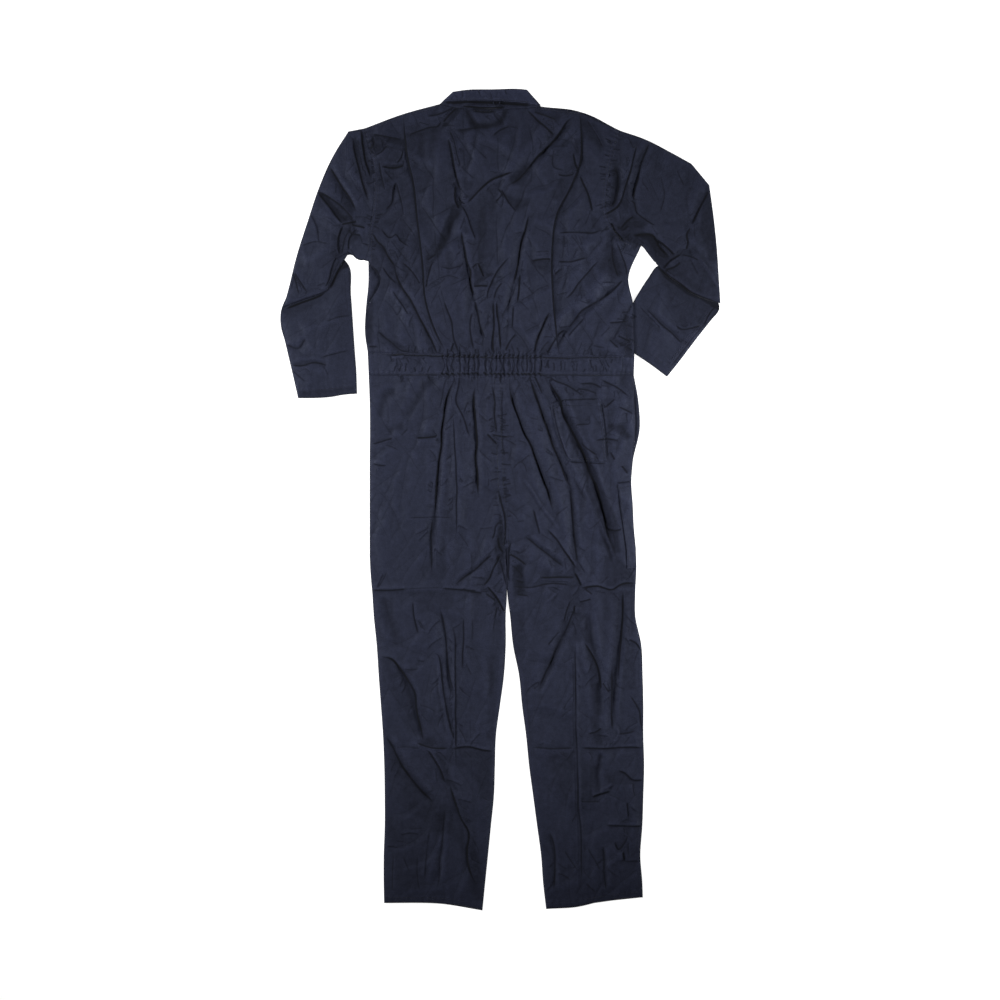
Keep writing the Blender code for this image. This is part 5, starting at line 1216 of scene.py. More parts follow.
# Facets turned from the light, with their shade and soft edge in mm
DELLS = [
    (0.62, 1.8, (318, 191.5), (341, 206), (357, 223.5), (343.5, 225.5), (330, 208)),
    (0.6, 3, (372, 135), (404, 140), (408, 151), (398, 146), (386, 144), (382, 151), (376, 157),
     (371, 148)),
    (0.5, 4, (405, 142), (418, 140), (416, 152), (412, 156), (407, 151)),
    (0.9, 2, (632, 236), (642, 235), (652, 236), (660, 247), (669, 258), (662, 260), (653, 252),
     (646, 241)),
    (0.6, 5, (630, 238), (652, 238), (670, 258), (664, 270), (655, 264), (643, 245), (634, 250)),
    (0.97, 1.6, (656, 266), (666, 275), (679, 283.5), (690, 290.5), (702, 296.5), (719.5, 303.5),
     (719.5, 311), (714, 309), (701, 301), (688, 295), (675, 286.5), (664, 279)),
    (0.4, 5, (711, 306), (719, 306), (718, 314), (704, 328), (700, 326), (709, 314)),
    (0.6, 6, (706, 185), (718, 215), (718, 262), (708, 262), (698, 232), (700, 208)),
    (0.3, 9, (652, 160), (668, 166), (690, 185), (704, 193), (696, 200), (672, 181), (655, 172)),
    (0.5, 5, (645, 250), (664, 262), (706, 290), (700, 296), (680, 284), (664, 272)),
    (0.5, 4, (366, 262), (373, 270), (374, 345), (366, 345)),
    (0.45, 4, (338, 180), (352, 205), (359, 240), (350, 246), (344, 215)),
    (0.35, 3, (300, 391), (352, 387), (357, 394), (300, 399)),
    (0.95, 1.6, (349, 256), (344, 262), (337, 276), (344, 270), (350, 268)),
    (0.25, 8, (284, 311), (327, 295), (330, 300), (301, 313), (288, 322)),
    (0.9, 1.4, (369, 264), (378, 271), (381.5, 280), (379, 284), (376, 276), (369, 270)),
    (0.3, 5, (372, 322), (385, 330), (405, 347), (413, 353), (400, 352), (385, 343)),
    (0.45, 4, (530, 262), (551, 261), (552, 272), (546, 275), (535, 267)),
    (0.4, 4, (481, 266), (486, 279), (480, 284), (474, 287), (473, 272)),
    (0.45, 5, (580, 118), (587, 122), (604, 150), (600, 153), (590, 141), (582, 129)),
    (0.5, 4, (500, 192), (508, 205), (518, 214), (528, 205), (529, 200), (516, 201), (506, 196)),
    (0.4, 4, (460, 181), (474, 184), (472, 190), (465, 193)),
    (0.65, 3, (454, 110), (464, 109), (460, 114), (453, 121), (447, 128), (440, 132), (444, 124)),
    (0.45, 14, (388, 748), (400, 755), (422, 782), (450, 808), (456, 832), (432, 832), (406, 802),
     (388, 772)),
    (0.35, 12, (398, 668), (408, 680), (420, 700), (432, 738), (424, 744), (412, 715), (400, 690)),
    (0.4, 9, (463, 815), (474, 850), (483, 898), (474, 898), (464, 862), (456, 835)),
    (0.3, 8, (450, 748), (492, 752), (490, 776), (470, 768), (456, 762)),
    (0.3, 10, (548, 750), (574, 750), (576, 790), (566, 800), (552, 780)),
    (0.85, 1.4, (446, 102.5), (470, 101.5), (505, 101.5), (530, 104.5), (528, 106.5), (505, 104.5),
     (447, 105)),
    (0.6, 2.5, (471, 111.5), (499, 111.5), (495, 115), (476, 115.5)),
    (0.7, 3.5, (466, 111), (471, 112), (473, 120), (478, 125), (490, 126), (500, 121), (503, 112),
     (508, 111), (505, 122), (498, 129), (480, 131), (458, 134), (456, 131), (470, 129), (466, 120)),
    (0.28, 14, (478, 184), (500, 184), (497, 215), (490, 255), (487, 282), (480, 284), (474, 250),
     (474, 215)),
    (0.55, 5, (480, 205), (488, 205), (488, 225), (485, 255), (484, 282), (479, 284), (477, 255),
     (478, 225)),
    (0.45, 4, (436, 236), (443, 238), (436, 262), (426, 276), (426, 258)),
    (0.4, 4, (590, 214), (600, 222), (602, 234), (592, 230)),
    (0.35, 5, (562, 180), (576, 170), (578, 196), (566, 210), (556, 226), (554, 212)),
    (0.12, 10, (410, 170), (446, 165), (450, 205), (435, 250), (424, 262), (416, 205)),
    (0.5, 5, (612, 160), (618, 167), (622, 186), (616, 207), (609, 212), (611, 190)),
    (0.4, 5, (610, 214), (622, 222), (630, 216), (640, 222), (630, 232), (618, 238)),
    (0.5, 9, (352, 140), (364, 142), (371, 178), (368, 200), (360, 178)),
    (0.45, 9, (338, 228), (350, 228), (346, 250), (336, 268), (332, 280), (333, 250)),
    (0.3, 6, (560, 395), (574, 420), (594, 465), (608, 505), (614, 540), (596, 490), (576, 440)),
    (0.3, 12, (385, 665), (400, 672), (414, 705), (420, 735), (410, 730), (396, 700)),
    (0.35, 12, (388, 745), (402, 764), (424, 792), (434, 803), (420, 806), (398, 785), (386, 765)),
    (0.35, 9, (450, 775), (463, 815), (474, 850), (480, 885), (470, 880), (462, 840), (452, 805)),
    (0.35, 8, (574, 612), (566, 640), (550, 672), (538, 692), (546, 660), (560, 632)),
    (0.35, 8, (611, 600), (621, 595), (620, 650), (616, 690), (610, 725), (606, 690), (612, 650)),
    (0.3, 10, (392, 850), (430, 845), (425, 885), (395, 888)),
    (0.3, 10, (580, 760), (600, 765), (598, 800), (583, 805)),
    (0.7, 4, (461, 203), (464, 210), (455, 222), (449, 240), (441, 258), (430, 266), (441, 236),
     (453, 206)),
    (0.5, 3, (386, 166), (404, 165), (404, 171), (388, 172)),
    (0.45, 3, (405, 134), (425, 133), (440, 130), (438, 136), (420, 139), (406, 139)),
    (0.55, 5, (508, 178), (520, 170), (530, 163), (530, 175), (522, 188), (510, 186)),
    (0.5, 4, (574, 140), (582, 140), (585, 165), (578, 170)),
    (0.6, 6, (612, 225), (632, 215), (650, 222), (640, 235), (625, 245), (612, 240)),
    (0.5, 3, (622, 182), (628, 180), (628, 215), (621, 215)),
    (0.5, 7, (606, 245), (618, 250), (625, 275), (612, 282), (600, 270)),
    (0.5, 4, (622, 310), (632, 320), (632, 358), (624, 358)),
    (0.5, 5, (333, 265), (345, 258), (342, 275), (332, 288), (328, 280)),
    (0.6, 4, (561, 404), (572, 420), (584, 444), (596, 472), (608, 500), (617, 524), (620, 552),
     (612, 554), (604, 528), (595, 500), (583, 470), (570, 440)),
    (0.35, 5, (570, 484), (577, 520), (580, 560), (580, 600), (586, 640), (574, 640), (566, 600),
     (572, 560)),
    (0.6, 4, (513, 565), (522, 562), (525, 580), (524, 596), (515, 596), (512, 580)),
    (0.35, 5, (511, 612), (524, 610), (526, 650), (516, 655)),
    (0.6, 4, (494, 545), (500, 515), (505, 530), (505, 570), (498, 575)),
    (0.5, 3, (606, 424), (622, 425), (631, 438), (625, 441), (616, 432), (606, 430)),
    (0.27, 14, (376, 135), (418, 135), (424, 240), (418, 290), (376, 285)),
    (0.35, 5, (276, 300), (290, 306), (318, 298), (312, 310), (290, 316), (276, 312)),
    (0.4, 3, (434, 512), (438, 520), (436, 545), (433, 545)),
    (0.3, 4, (420, 568), (445, 545), (447, 578), (424, 580)),
    (0.25, 5, (380, 656), (394, 658), (400, 668), (384, 668)),
    (0.4, 4, (398, 662), (408, 672), (418, 692), (417, 700), (406, 686)),
    (0.5, 4, (420, 732), (436, 738), (434, 746), (422, 742)),
    (0.5, 4, (436, 752), (444, 758), (458, 788), (452, 792), (442, 772)),
    (0.35, 5, (456, 748), (492, 752), (492, 762), (458, 756)),
    (0.4, 5, (460, 812), (468, 820), (480, 860), (482, 880), (472, 860), (464, 835)),
    (0.5, 6, (586, 615), (592, 640), (598, 665), (600, 720), (602, 745), (594, 745), (588, 660),
     (582, 630)),
    (0.15, 12, (640, 150), (700, 175), (716, 260), (660, 235), (628, 215)),
    (0.3, 6, (620, 625), (634, 620), (636, 690), (622, 690)),
    (0.35, 5, (604, 775), (620, 768), (634, 775), (632, 782), (612, 784)),
    (0.3, 7, (378, 600), (392, 598), (404, 640), (396, 645), (384, 625)),
    (0.25, 5, (494, 600), (504, 600), (500, 660), (494, 740), (486, 740), (490, 660)),
    (0.45, 5, (604, 556), (618, 556), (634, 576), (634, 588), (606, 586)),
    (0.5, 4, (584, 486), (592, 486), (606, 530), (616, 556), (610, 560), (598, 530)),
    (0.3, 6, (562, 590), (585, 590), (585, 640), (558, 640)),
    (0.3, 6, (600, 590), (634, 590), (634, 625), (604, 620)),
    (0.25, 5, (408, 590), (455, 590), (452, 608), (420, 612)),
    (0.4, 4, (618, 372), (633, 372), (634, 395), (628, 405), (622, 390)),
    (0.4, 6, (404, 128), (440, 126), (436, 150), (432, 162), (414, 158), (420, 140)),
    (0.35, 7, (370, 232), (384, 228), (396, 250), (400, 285), (384, 292), (372, 285)),
    (0.35, 10, (655, 250), (700, 250), (718, 285), (719, 306), (700, 330), (680, 330), (665, 300),
     (656, 270)),
    (0.3, 8, (690, 190), (708, 195), (716, 240), (716, 262), (700, 250), (692, 225)),
    (0.6, 2, (628, 236), (640, 232), (655, 237), (660, 250), (650, 246), (640, 240), (630, 246)),
    (0.4, 5, (548, 198), (560, 180), (578, 172), (572, 190), (560, 204)),
    (0.3, 8, (385, 815), (430, 818), (430, 845), (390, 848)),
    (0.35, 6, (470, 752), (492, 752), (490, 798), (480, 798), (474, 775)),
]


def nearest(spots, line):
    """Distance from each spot to a line of points, signed by side, and the length along it."""
    start, span = line[:-1], line[1:] - line[:-1]
    squared = (span**2).sum(axis=1) + 1e-12
    lengths = np.sqrt(squared)
    begun = run_of(lengths)[:-1]
    across, along = np.empty(len(spots)), np.empty(len(spots))
    for first in range(0, len(spots), 6000):
        some = slice(first, first + 6000)
        offset = spots[some, None] - start[None]
        t = np.clip((offset * span).sum(axis=2) / squared, 0, 1)
        away = offset - t[..., None] * span
        distance = np.hypot(away[..., 0], away[..., 1])
        which = distance.argmin(axis=1)
        rows = np.arange(len(which))
        side = span[which, 0] * offset[rows, which, 1] - span[which, 1] * offset[rows, which, 0]
        across[some] = distance[rows, which] * np.sign(side)
        along[some] = begun[which] + t[rows, which] * lengths[which]
    return across, along


def near_to(spots, line, reach):
    """Which spots lie in the box round a line, grown by the reach."""
    return ((spots > line.min(axis=0) - reach) & (spots < line.max(axis=0) + reach)).all(axis=1)


def smooth_line(places):
    """A smooth run through places of the chart, in mm."""
    return through(to_mm(places), (), [tuple(np.arange(5) / 5)] * (len(places) - 1))


def rumple(spots, size, seed):
    """Smooth random swelling between about -1 and 1, with lumps of this size in mm."""
    lattice = np.random.default_rng(seed).normal(0, 0.6, (96, 96))
    cell = spots / np.array(size) + 40.37
    corner = np.floor(cell).astype(int)
    t = smooth_step(cell - corner)
    a, b = corner[:, 0] % 95, corner[:, 1] % 95
    low = lattice[a, b] * (1 - t[:, 0]) + lattice[a + 1, b] * t[:, 0]
    high = lattice[a, b + 1] * (1 - t[:, 0]) + lattice[a + 1, b + 1] * t[:, 0]
    return low * (1 - t[:, 1]) + high * t[:, 1]


def within(spots, places, soft):
    """1 inside a ring of places and 0 outside, over a soft edge."""
    ring = to_mm(places + places[:1])
    odd = np.zeros(len(spots), bool)
    for (x0, y0), (x1, y1) in zip(ring[:-1], ring[1:]):
        crosses = (spots[:, 1] < y0) != (spots[:, 1] < y1)
        odd ^= crosses & (spots[:, 0] < x0 + (spots[:, 1] - y0) * (x1 - x0) / (y1 - y0 + 1e-9))
    return smooth_step(0.5 + np.where(odd, 1, -1) * np.abs(nearest(spots, ring)[0]) / (2 * soft))


def steps_of(line):
    """Lengths of the steps between the points of a line."""
    return np.linalg.norm(np.diff(line, axis=0), axis=1)


def body_lift(spots):
    """How far the body climbs over the cuff tucked under it."""
    ring = to_mm(TUCKED + TUCKED[:1])
    away = np.abs(nearest(spots, ring)[0]) * (within(spots, TUCKED, 1e-6) < 0.5)
    return SLEEVE_STACK * smooth_step(1 - (away - LIFT_FLAT) / LIFT_RUN)


def fold_height(kind, width, height, across, along):
    """Height of a ridge, valley or step at distances across it and shares of its length."""
    size = height * smooth_step(along / 0.16) * smooth_step((1 - along) / 0.16)
    if kind == "ridge":
        return size * min(1, width / 10) ** 2 * np.exp(-(np.abs(across / width) ** 1.5))
    if kind == "valley":
        u = np.abs(across) / width / np.where(across > 0, 0.6, 1.3)
        return size * (0.3 * np.exp(-((u - 1.9) ** 2)) - np.exp(-(u ** 1.15)))
    high_side = across if kind == "left_step" else -across
    edge = smooth_step(0.5 + high_side / (0.16 * width)) * np.exp(-np.maximum(high_side, 0) / (2.5 * width))
    return size * edge


def crease_height(width, depth, lapped, across):
    """A valley between two lips, or a lap that rises slowly, drops at the line and recovers."""
    u = across / width
    lips = np.exp(-(((u - 1.9) / 1.1) ** 2)) + np.exp(-(((u + 1.9) / 1.1) ** 2))
    valley = 0.3 * lips - np.exp(-np.abs(u) ** 1.6)
    edge = smooth_step(0.5 + u / 1.5)
    lap = 0.95 * edge * np.exp(-np.maximum(u, 0) / 6) - 0.5 * (1 - edge) * np.exp(-np.maximum(-u, 0) / 3)
    return depth * (lapped * lap + (1 - lapped) * valley)


def facets(spots):
    """Height of facets that meet in soft creases, and the distance and painted shade of their valley lines.
    """
    fall = np.random.default_rng(17)
    total, line, dark = np.zeros(len(spots)), np.full(len(spots), NO_CREASE), np.zeros(len(spots))
    (x, y), = to_mm([CRUMPLED])
    crumpled = 0.4 + 0.6 * np.exp(
        -(((spots[:, 0] - x) / CRUMPLED_REACH[0]) ** 4) - ((spots[:, 1] - y) / CRUMPLED_REACH[1]) ** 2)
    for number in range(8):
        bearing, size, steep = fall.normal(0, 0.55), fall.uniform(36, 100), fall.uniform(0.12, 0.3)
        across = spots @ np.array([math.cos(bearing), math.sin(bearing)])
        across = across + 15 * rumple(spots, (80, 130), 60 + number)
        across = across + 2 * rumple(spots, (17, 29), 70 + number)
        phase = (across / size + fall.uniform()) % 1
        held = crumpled * np.clip(1.7 * rumple(spots, (55, 95), 80 + number), 0, 1)
        total += FACET * size * held * np.where(phase < steep, phase / steep, (1 - phase) / (1 - steep))
        off = np.where(phase < 0.5, phase, phase - 1) * size
        darker = FACET_LINE * held > np.maximum(dark, 0) * (1 + 0.3 * (np.abs(off) > np.abs(line)))
        darker &= np.abs(off) < 6
        line[darker], dark[darker] = -off[darker], (FACET_LINE * held)[darker]
    return total, line, dark


chance = np.random.default_rng(7)
traced = [(grade, smooth_line(places)) for grade, *places in creases]
branching = [(line, 1) for grade, line in traced if grade in ("deep", "lap", "sharp", "clear")]
branching += [(smooth_line(places), 0) for _, _, pucker, _, *places in seams if pucker > 0.4]
for line, from_crease in branching:  # short spurs run off the creases, and off the seams that pucker
    gone = run_of(steps_of(line))
    for _ in range(int(gone[-1] / (30 if from_crease else 10))):
        at = chance.uniform(0.08, 0.92) * gone[-1]
        start = np.array([np.interp(at, gone, line[:, axis]) for axis in (0, 1)])
        after = np.searchsorted(gone, at)
        way = line[min(after, len(line) - 1)] - line[max(after - 1, 0)]
        lean = chance.choice((-1, 1)) * (chance.uniform(22, 65) if from_crease else chance.uniform(60, 110))
        bearing = math.atan2(way[1], way[0]) + math.radians(lean)
        bend = math.radians(chance.uniform(-16, 16))
        far = chance.uniform(*((12, 46) if from_crease else (8, 22)))
        reach = [start + 2.5 * np.array([math.cos(bearing), math.sin(bearing)])]
        for part in range(3):
            turn = bearing + bend * (part - 1)
            reach.append(reach[-1] + far / 3 * np.array([math.cos(turn), math.sin(turn)]))
        traced.append(("spur" if from_crease else "tuck", np.array(reach)))


def from_rims(spots):
    """Distance from each spot to the nearest free edge."""
    rim = np.full(len(spots), NO_RIM)
    for edge in rims:
        edge = to_mm(edge)
        near = near_to(spots, edge, 250)
        rim[near] = np.minimum(rim[near], np.abs(nearest(spots[near], edge)[0]))
    return rim


def laid(spots):
    """Rise of the cloth over its bed, then the distance and depth of each spot's crease, and its shade."""
    rim = from_rims(spots)
    wander = np.stack([rumple(spots, (23, 31), 3), rumple(spots, (31, 23), 4)], axis=1) * 1.1
    main, fine, shade = np.zeros(len(spots)), np.zeros(len(spots)), np.zeros(len(spots))
    crease, depths = np.full(len(spots), NO_CREASE), np.zeros(len(spots))
    pull = np.zeros(len(spots))

    def draw_line(near, across, dark):
        """Keeps the crease with the most pull on each spot."""
        now = dark * np.exp(-((across / 7.0) ** 2))
        closer = now > pull[near]
        where = near[closer]
        pull[where], crease[where], depths[where] = now[closer], across[closer], dark[closer]

    for kind, width, height, *places in folds:
        line = smooth_line(places)
        near = np.flatnonzero(near_to(spots, line, 6 * width))
        strayed = spots[near] + (0 if kind.endswith("step") else 1) * wander[near]
        across, along = nearest(strayed, line)
        length = steps_of(line).sum()
        main[near] += fold_height(kind, width, height, across, along / length)
        if kind.endswith("step"):
            fade = smooth_step(along / length / 0.12) * smooth_step((1 - along / length) / 0.12)
            draw_line(near, across if kind == "left_step" else -across, 0.9 * fade)
            low = across if kind == "right_step" else -across
            # painted shade on the low side of each step
            under = 0.35 * fade * smooth_step(low / 1.5) * np.exp(-np.maximum(low, 0) / 5)
            shade[near] = np.maximum(shade[near], under)
    for number, (grade, line) in enumerate(traced):
        width, depth, lapped, dark, beside = GRADES[grade]
        near = np.flatnonzero(near_to(spots, line, 7 * width))
        if not len(near):
            continue
        across, along = nearest(spots[near] + wander[near], line)
        if grade in ("clear", "faint", "sharp", "spur") and number % 2:
            across = -across
        along = along / steps_of(line).sum()
        fade = smooth_step(along / 0.16) * smooth_step((1 - along) / 0.16)
        vary = np.clip(1 + 0.35 * rumple(spots[near], (34, 34), 11), 0.3, 1.6)
        fine[near] += fade * vary * crease_height(width, depth, lapped, across)
        draw_line(near, across, dark * np.clip(fade * vary, 0, 1))
        low = np.exp(-((across / max(3.0, 0.8 * width)) ** 2))
        lap_side = lapped * smooth_step(-across / 1.5) * np.exp(np.minimum(across, 0) / 8)
        low = 0.6 * low + 0.4 * np.maximum(low, lap_side)
        shade[near] = np.maximum(shade[near], beside * fade * low)
    for dark, soft_edge, *places in DELLS:
        near = np.flatnonzero(near_to(spots, to_mm(places), 3 * soft_edge))
        if len(near):
            dell = within(spots[near] + wander[near], places, soft_edge)
            shade[near] = np.maximum(shade[near], dark * dell)
    flats, valley, dark = facets(spots)
    draw_line(np.arange(len(spots)), valley, dark)
    soft = flats + 1.1 * rumple(spots, (46, 88), 21) + 0.5 * rumple(spots, (24, 41), 22)
    soft += 0.3 * rumple(spots, (11, 16), 23)
    ridged = (1 - np.abs(rumple(spots, (26, 44), 31)) * 2.4).clip(0, 1) ** 2
    crumple = 0.35 * ridged + 0.25 * (1 - np.abs(rumple(spots, (9, 12), 32)) * 2.2).clip(0, 1) ** 2
    rise = SWELL * (1 - np.exp(-rim / SWELL_RUN))
    rise = rise + (FOLDS_UP * main + RUMPLES_UP * soft) * (1 - np.exp(-rim / FOLD_RUN))
    rise += CREASES_UP * (fine - crumple) * (1 - np.exp(-rim / CREASE_RUN))
    rise = LOWEST + (rise - LOWEST + np.hypot(rise - LOWEST, LOW_EASE)) / 2
    rise = HIGHEST - (HIGHEST - rise + np.hypot(HIGHEST - rise, HIGH_EASE)) / 2
    # painted shade along the free edges, where they roll down
    shade = np.maximum(shade, 0.4 * np.exp(-((rim / 2.0) ** 2)))
    return rise - EDGE_ROLL * np.exp(-((rim / EDGE_RUN) ** 2)), crease, depths, shade


def seam_marks(spots, rows, size=1.0):
    """Raised bands and puckers along the seams, then each spot's nearest seam and that seam's needles."""
    raised, seam, needle = np.zeros(len(spots)), np.full(len(spots), NO_SEAM), np.zeros(len(spots))
    for needles, band_up, pucker, pitch, *places in rows:
        line = smooth_line(places)
        near = np.flatnonzero(near_to(spots, line, 26))
        across, along = nearest(spots[near], line)
        beside = np.abs(across) - needles
        raised[near] += band_up * smooth_step((3.4 - beside) / 2.4)
        run = np.stack([along, along * 0], 1)
        beat = along / pitch + 1.3 * rumple(run, (pitch * 1.7, 9), 41)
        strength = np.clip(0.8 + 0.9 * rumple(run, (pitch * 2.6, 9), 42), 0.1, 1.6)
        wave = pucker * strength * np.sin(2 * math.pi * beat)
        raised[near] += size * wave * np.exp(-((beside / PUCKER_RUN) ** 2))
        closer = np.abs(across) < np.abs(seam[near])
        seam[near[closer]], needle[near[closer]] = across[closer], needles
    return raised, seam, needle


def softened(grid, reach):
    """The grid with each value the mean of those around it, reach steps each way."""
    for axis in (0, 1):
        padded = np.concatenate([np.repeat(np.take(grid, [0], axis), reach, axis), grid,
                                 np.repeat(np.take(grid, [-1], axis), reach, axis)], axis)
        total = np.cumsum(np.insert(padded, 0, 0, axis=axis), axis=axis)
        wide, count = 2 * reach + 1, grid.shape[axis]
        grid = (np.take(total, range(wide, wide + count), axis) - np.take(total, range(count), axis)) / wide
    return grid


for name, one in pieces.items():
    grid = to_mm(one["places"])
    spots = grid.reshape(-1, 2)
    lift = one["lift"].reshape(-1)
    fullness = one["fullness"].reshape(-1)
    crease, depth = np.full(len(spots), NO_CREASE), np.zeros(len(spots))
    if one["layer"] in ("under", "climbing"):
        raised, seam, needle = seam_marks(spots, seams + PLACKET_SEAMS, 0)
        height = FRONT_TOP + 0.1 * rumple(spots, (30, 45), 51) + 0.25 * raised
        shade = np.where(spots[:, 1] < HEM_PEEP, HEM_DARK, PEEP_DARK)
        shade = shade * np.exp(-((from_rims(spots) / PEEP_RUN) ** 2))
        if one["layer"] == "climbing":
            height = height + body_lift(spots)
    else:
        rise, crease, depth, shade = laid(spots)
        raised, seam, needle = seam_marks(spots, seams)
        height = BED + CLOTH_DEEP + (rise + raised) * fullness + lift
        if name in ("back_bodice_cloth", "back_waistband_cloth"):
            height = height + body_lift(spots)
        if name == "collar_leaf_cloth":
            shade = 0.3 * shade
        else:
            height = height + gathers(one["places"].reshape(-1, 2)) * (one["layer"] != "patch")
        height = height + {"leaf": LEAF_LIFT, "patch": PATCH_LIFT}.get(one["layer"], 0)
    height = height.reshape(grid.shape[:2])
    # painted shade in the hollows of the cloth, and a painted highlight with wear on its ridges
    hollow = softened(height, 3) - height
    shade = shade.reshape(height.shape) + HOLLOW_DARK * np.clip(hollow / HOLLOW_DEEP, 0, 1)
    shade = np.clip(shade, 0, 1)
    wear_and_highlight = np.clip(-hollow / RIDGE_HIGH, 0, 1)
    row, column = one["order"]
    mesh = one["piece"].data
    flat = np.concatenate([grid, height[..., None]], axis=2)[row, column] * MM
    mesh.vertices.foreach_set("co", flat.astype(np.float32).ravel())
    marks = dict(seam=seam, needle=needle, crease=crease, depth=depth, shade=shade, wear_and_highlight=wear_and_highlight)
    for label, values in marks.items():
        values = values.reshape(height.shape)[row, column].astype(np.float32)
        mesh.attributes.new(label, "FLOAT", "POINT").data.foreach_set("value", values)
    mesh.update()

# --- Hanger loop ------------------------------------------------------------------------------------------
# A short loop of narrow twill tape, both ends caught in the neck seam below the collar leaf.
LOOP = [
    (493.6, 103.2), (493.8, 105.6), (494.8, 107.2), (496.6, 107.8), (498.4, 107.2), (499.4, 105.6),
    (499.6, 103.2),
]
TAPE, TAPE_PITCH = (0.0135, 0.016, 0.029), 0.0006  # its colour; metres between its lines
TAPE_WIDE, TAPE_THICK, TAPE_CLEAR, TAPE_BOW = 3.0, 0.9, 0.5, 0.15  # mm
outer_trees = {  # what things can lie on
    name: BVHTree.FromPolygons([v.co.copy() for v in one["piece"].data.vertices],
                               [tuple(p.vertices) for p in one["piece"].data.polygons])
    for name, one in pieces.items() if one["layer"] in ("outer", "patch", "leaf")
}


def surface(x, y, names=None):
    """The highest place of the cloth over a point in metres, and its facing."""
    best = None
    for name, tree in outer_trees.items():
        if names is None or name in names:
            hit, normal, _, _ = tree.ray_cast(Vector((x, y, 0.1)), Vector((0, 0, -1)))
            if hit is not None and (best is None or hit.z > best[0].z):
                best = hit, normal
    return best


bm = bmesh.new()
centre_line = smooth_line(LOOP) * MM
along = np.gradient(centre_line, axis=0)
along /= np.linalg.norm(along, axis=1, keepdims=True)
left = np.stack([-along[:, 1], along[:, 0]], axis=1) * TAPE_WIDE / 2 * MM
bmesh.ops.create_grid(bm, x_segments=4, y_segments=len(centre_line) - 1, size=0.5)
for vert in bm.verts:
    step = round((vert.co.y + 0.5) * (len(centre_line) - 1))
    side = vert.co.x * 2
    x, y = centre_line[step] + left[step] * side
    place, _ = surface(x, y, ("collar_stand_cloth", "back_bodice_cloth"))
    vert.co = (x, y, place.z + (TAPE_THICK + TAPE_CLEAR - TAPE_BOW * side * side) * MM)
bmesh.ops.recalc_face_normals(bm, faces=bm.faces[:])
if sum(face.normal.z for face in bm.faces) < 0:
    bmesh.ops.reverse_faces(bm, faces=bm.faces[:])
hanger_loop = made("hanger_loop_tape", bm, twill("tape_twill", TAPE, TAPE_PITCH))
hanger_loop.data.uv_layers.new(name="cloth")
walled(hanger_loop, TAPE_THICK)
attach(hanger_loop, "root")
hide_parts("hanger_loop")

# --- Sewing -----------------------------------------------------------------------------------------------
# Spun polyester thread in the navy of the cloth, three stitches to a centimetre, in single rows on hems and
# edges and in twin rows on the felled seams. Every stitch lies half sunk on the cloth below it.
THREAD = (0.0125, 0.015, 0.028)
STITCH_PITCH, STITCH_LONG, STITCH_WIDE = 3.4, 2.5, 0.62  # mm
thread, tree, shader = finished("navy_thread", {"Specular IOR Level": 0.35, "Sheen Weight": 0.2})
ply = varied(tree, tree.nodes.new("ShaderNodeTexCoord").outputs["Object"], 900.0, 2.0, 0.75, 1.2)
tree.links.new(tinted(tree, THREAD, ply), shader.inputs["Base Color"])
wire(tree, spread(tree, ply, 0.75, 1.2, 0.7, 0.55), shader.inputs["Roughness"])

bm = bmesh.new()
row_mesh = bpy.data.meshes.new("stitch_row")  # holds one row at a time
for needles, _, _, _, *line in seams:
    run = smooth_line(line)
    gone = run_of(steps_of(run))
    at = np.arange(STITCH_PITCH / 2, gone[-1], STITCH_PITCH)
    x, y = np.interp(at, gone, run[:, 0]), np.interp(at, gone, run[:, 1])
    dx, dy = np.gradient(x), np.gradient(y)
    size = np.hypot(dx, dy)
    dx, dy = dx / size, dy / size
    row_bm = bmesh.new()
    for offset in ((0,) if needles == 0 else (-needles, needles)):
        for px, py, tx, ty in zip(x - dy * offset, y + dx * offset, dx, dy):
            found = surface(px * MM, py * MM)
            if found is None:
                continue
            place, normal = found
            run_way = Vector((tx, ty, 0))
            run_way = (run_way - normal * run_way.dot(normal)).normalized()
            turn = Matrix((run_way, normal.cross(run_way), normal)).transposed().to_4x4()
            form = Matrix.Diagonal((STITCH_LONG / 2 * MM, STITCH_WIDE / 2 * MM, STITCH_WIDE / 2 * MM, 1))
            bmesh.ops.create_uvsphere(
                row_bm, u_segments=5, v_segments=3, radius=1, matrix=Matrix.Translation(place) @ turn @ form)
    row_bm.to_mesh(row_mesh)
    row_bm.free()
    bm.from_mesh(row_mesh)
bpy.data.meshes.remove(row_mesh)
topstitching = made("topstitching", bm, thread)
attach(topstitching, "root")

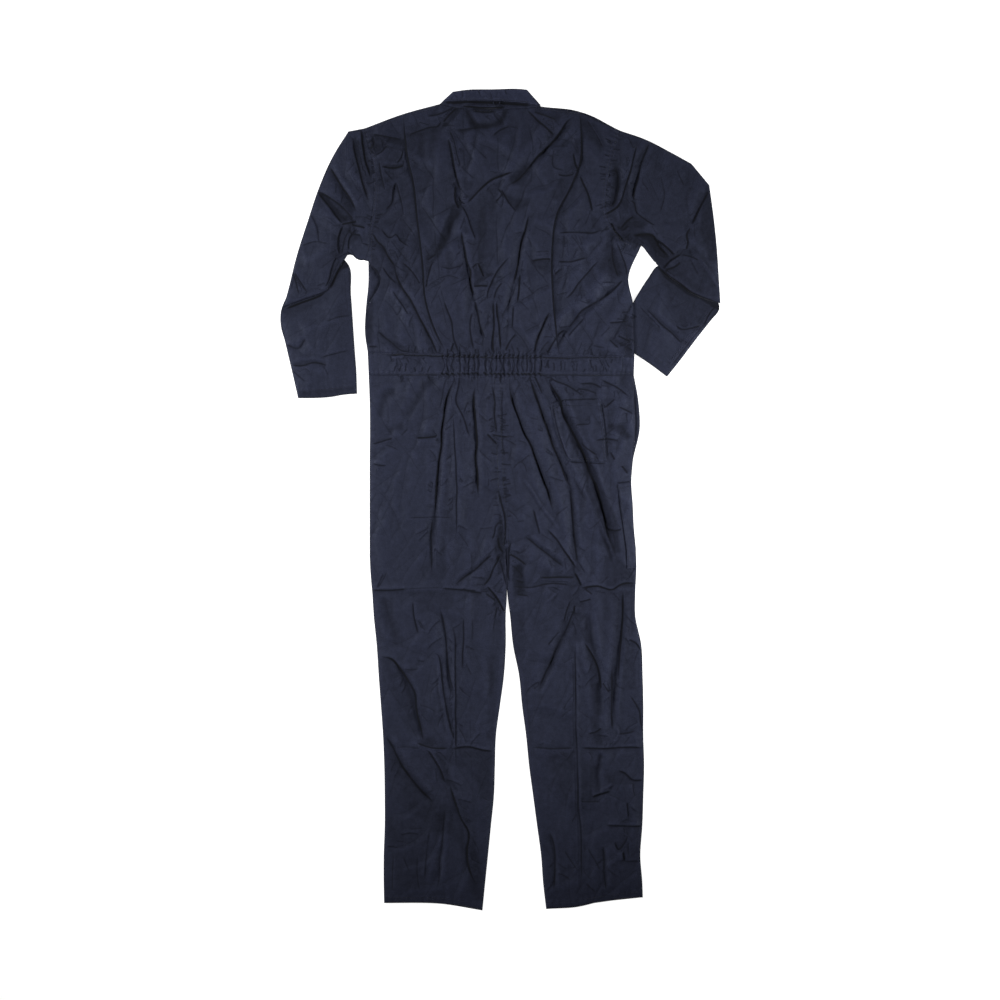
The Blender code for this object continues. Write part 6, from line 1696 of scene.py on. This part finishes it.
# --- Floor, light and camera ------------------------------------------------------------------------------
# A pale, faintly glowing floor, a soft low beam from each side, and a camera straight above.
FLOOR_HALF, FLOOR_DOWN = 4, 0.0003  # metres
bm = bmesh.new()
bmesh.ops.create_grid(bm, x_segments=1, y_segments=1, size=FLOOR_HALF)
bmesh.ops.translate(bm, verts=bm.verts[:], vec=(0, 0, -FLOOR_DOWN))
floor_paint, _, _ = finished("floor_paint", {
    "Base Color": (0.86, 0.86, 0.865, 1),
    "Roughness": 0.9,
    "Specular IOR Level": 0.1,
    "Emission Color": (1, 1, 1, 1),
    "Emission Strength": 0.9,
})
floor = made("floor", bm, floor_paint)

AIM = Vector((0, 0.09, 0))
LIGHTS = {  # place, radius in metres, watts, width of the beam in degrees
    "right": ((1.95, 0.04, 1.12), 0.25, 201, 58),
    "left": ((-2.5, 0.55, 1.42), 0.3, 325, 62),
}
for name, (place, size, power, beam) in LIGHTS.items():
    light = bpy.data.lights.new(name, "SPOT")
    light.shadow_soft_size, light.energy = size, power
    light.spot_size, light.spot_blend = math.radians(beam), 1.0
    lamp = bpy.data.objects.new(name, light)
    lamp.location = place
    lamp.rotation_euler = (AIM - Vector(place)).to_track_quat("-Z", "Y").to_euler()
    bpy.context.scene.collection.objects.link(lamp)

# A pale room to look at, whose own light stays weak
ROOM_SEEN, ROOM_GLOW = 0.8, 0.056
world = bpy.data.worlds.new("studio")
world.use_nodes = True
room = world.node_tree.nodes["Background"]
room.inputs["Color"].default_value = (1, 0.95, 0.9, 1)
seen = world.node_tree.nodes.new("ShaderNodeLightPath")
pale = sums(world.node_tree, "MULTIPLY_ADD", seen.outputs["Is Camera Ray"], ROOM_SEEN, ROOM_GLOW)
wire(world.node_tree, pale, room.inputs["Strength"])
bpy.context.scene.world = world
bpy.context.scene.view_settings.view_transform = "Standard"

CAMERA_HIGH, CLOTH_HIGH, SENSOR = 4.0, 0.004, 36  # metres, metres, mm
VIEW_MIDDLE, VIEW_WIDE = (500, 500), 997  # on the chart
camera = bpy.data.objects.new("camera", bpy.data.cameras.new("camera"))
camera.data.sensor_width = SENSOR
camera.data.lens = SENSOR * (CAMERA_HIGH - CLOTH_HIGH) / (VIEW_WIDE * SQUARE * MM)
camera.location = (*to_mm(VIEW_MIDDLE) * MM, CAMERA_HIGH)
bpy.context.scene.collection.objects.link(camera)
bpy.context.scene.camera = camera
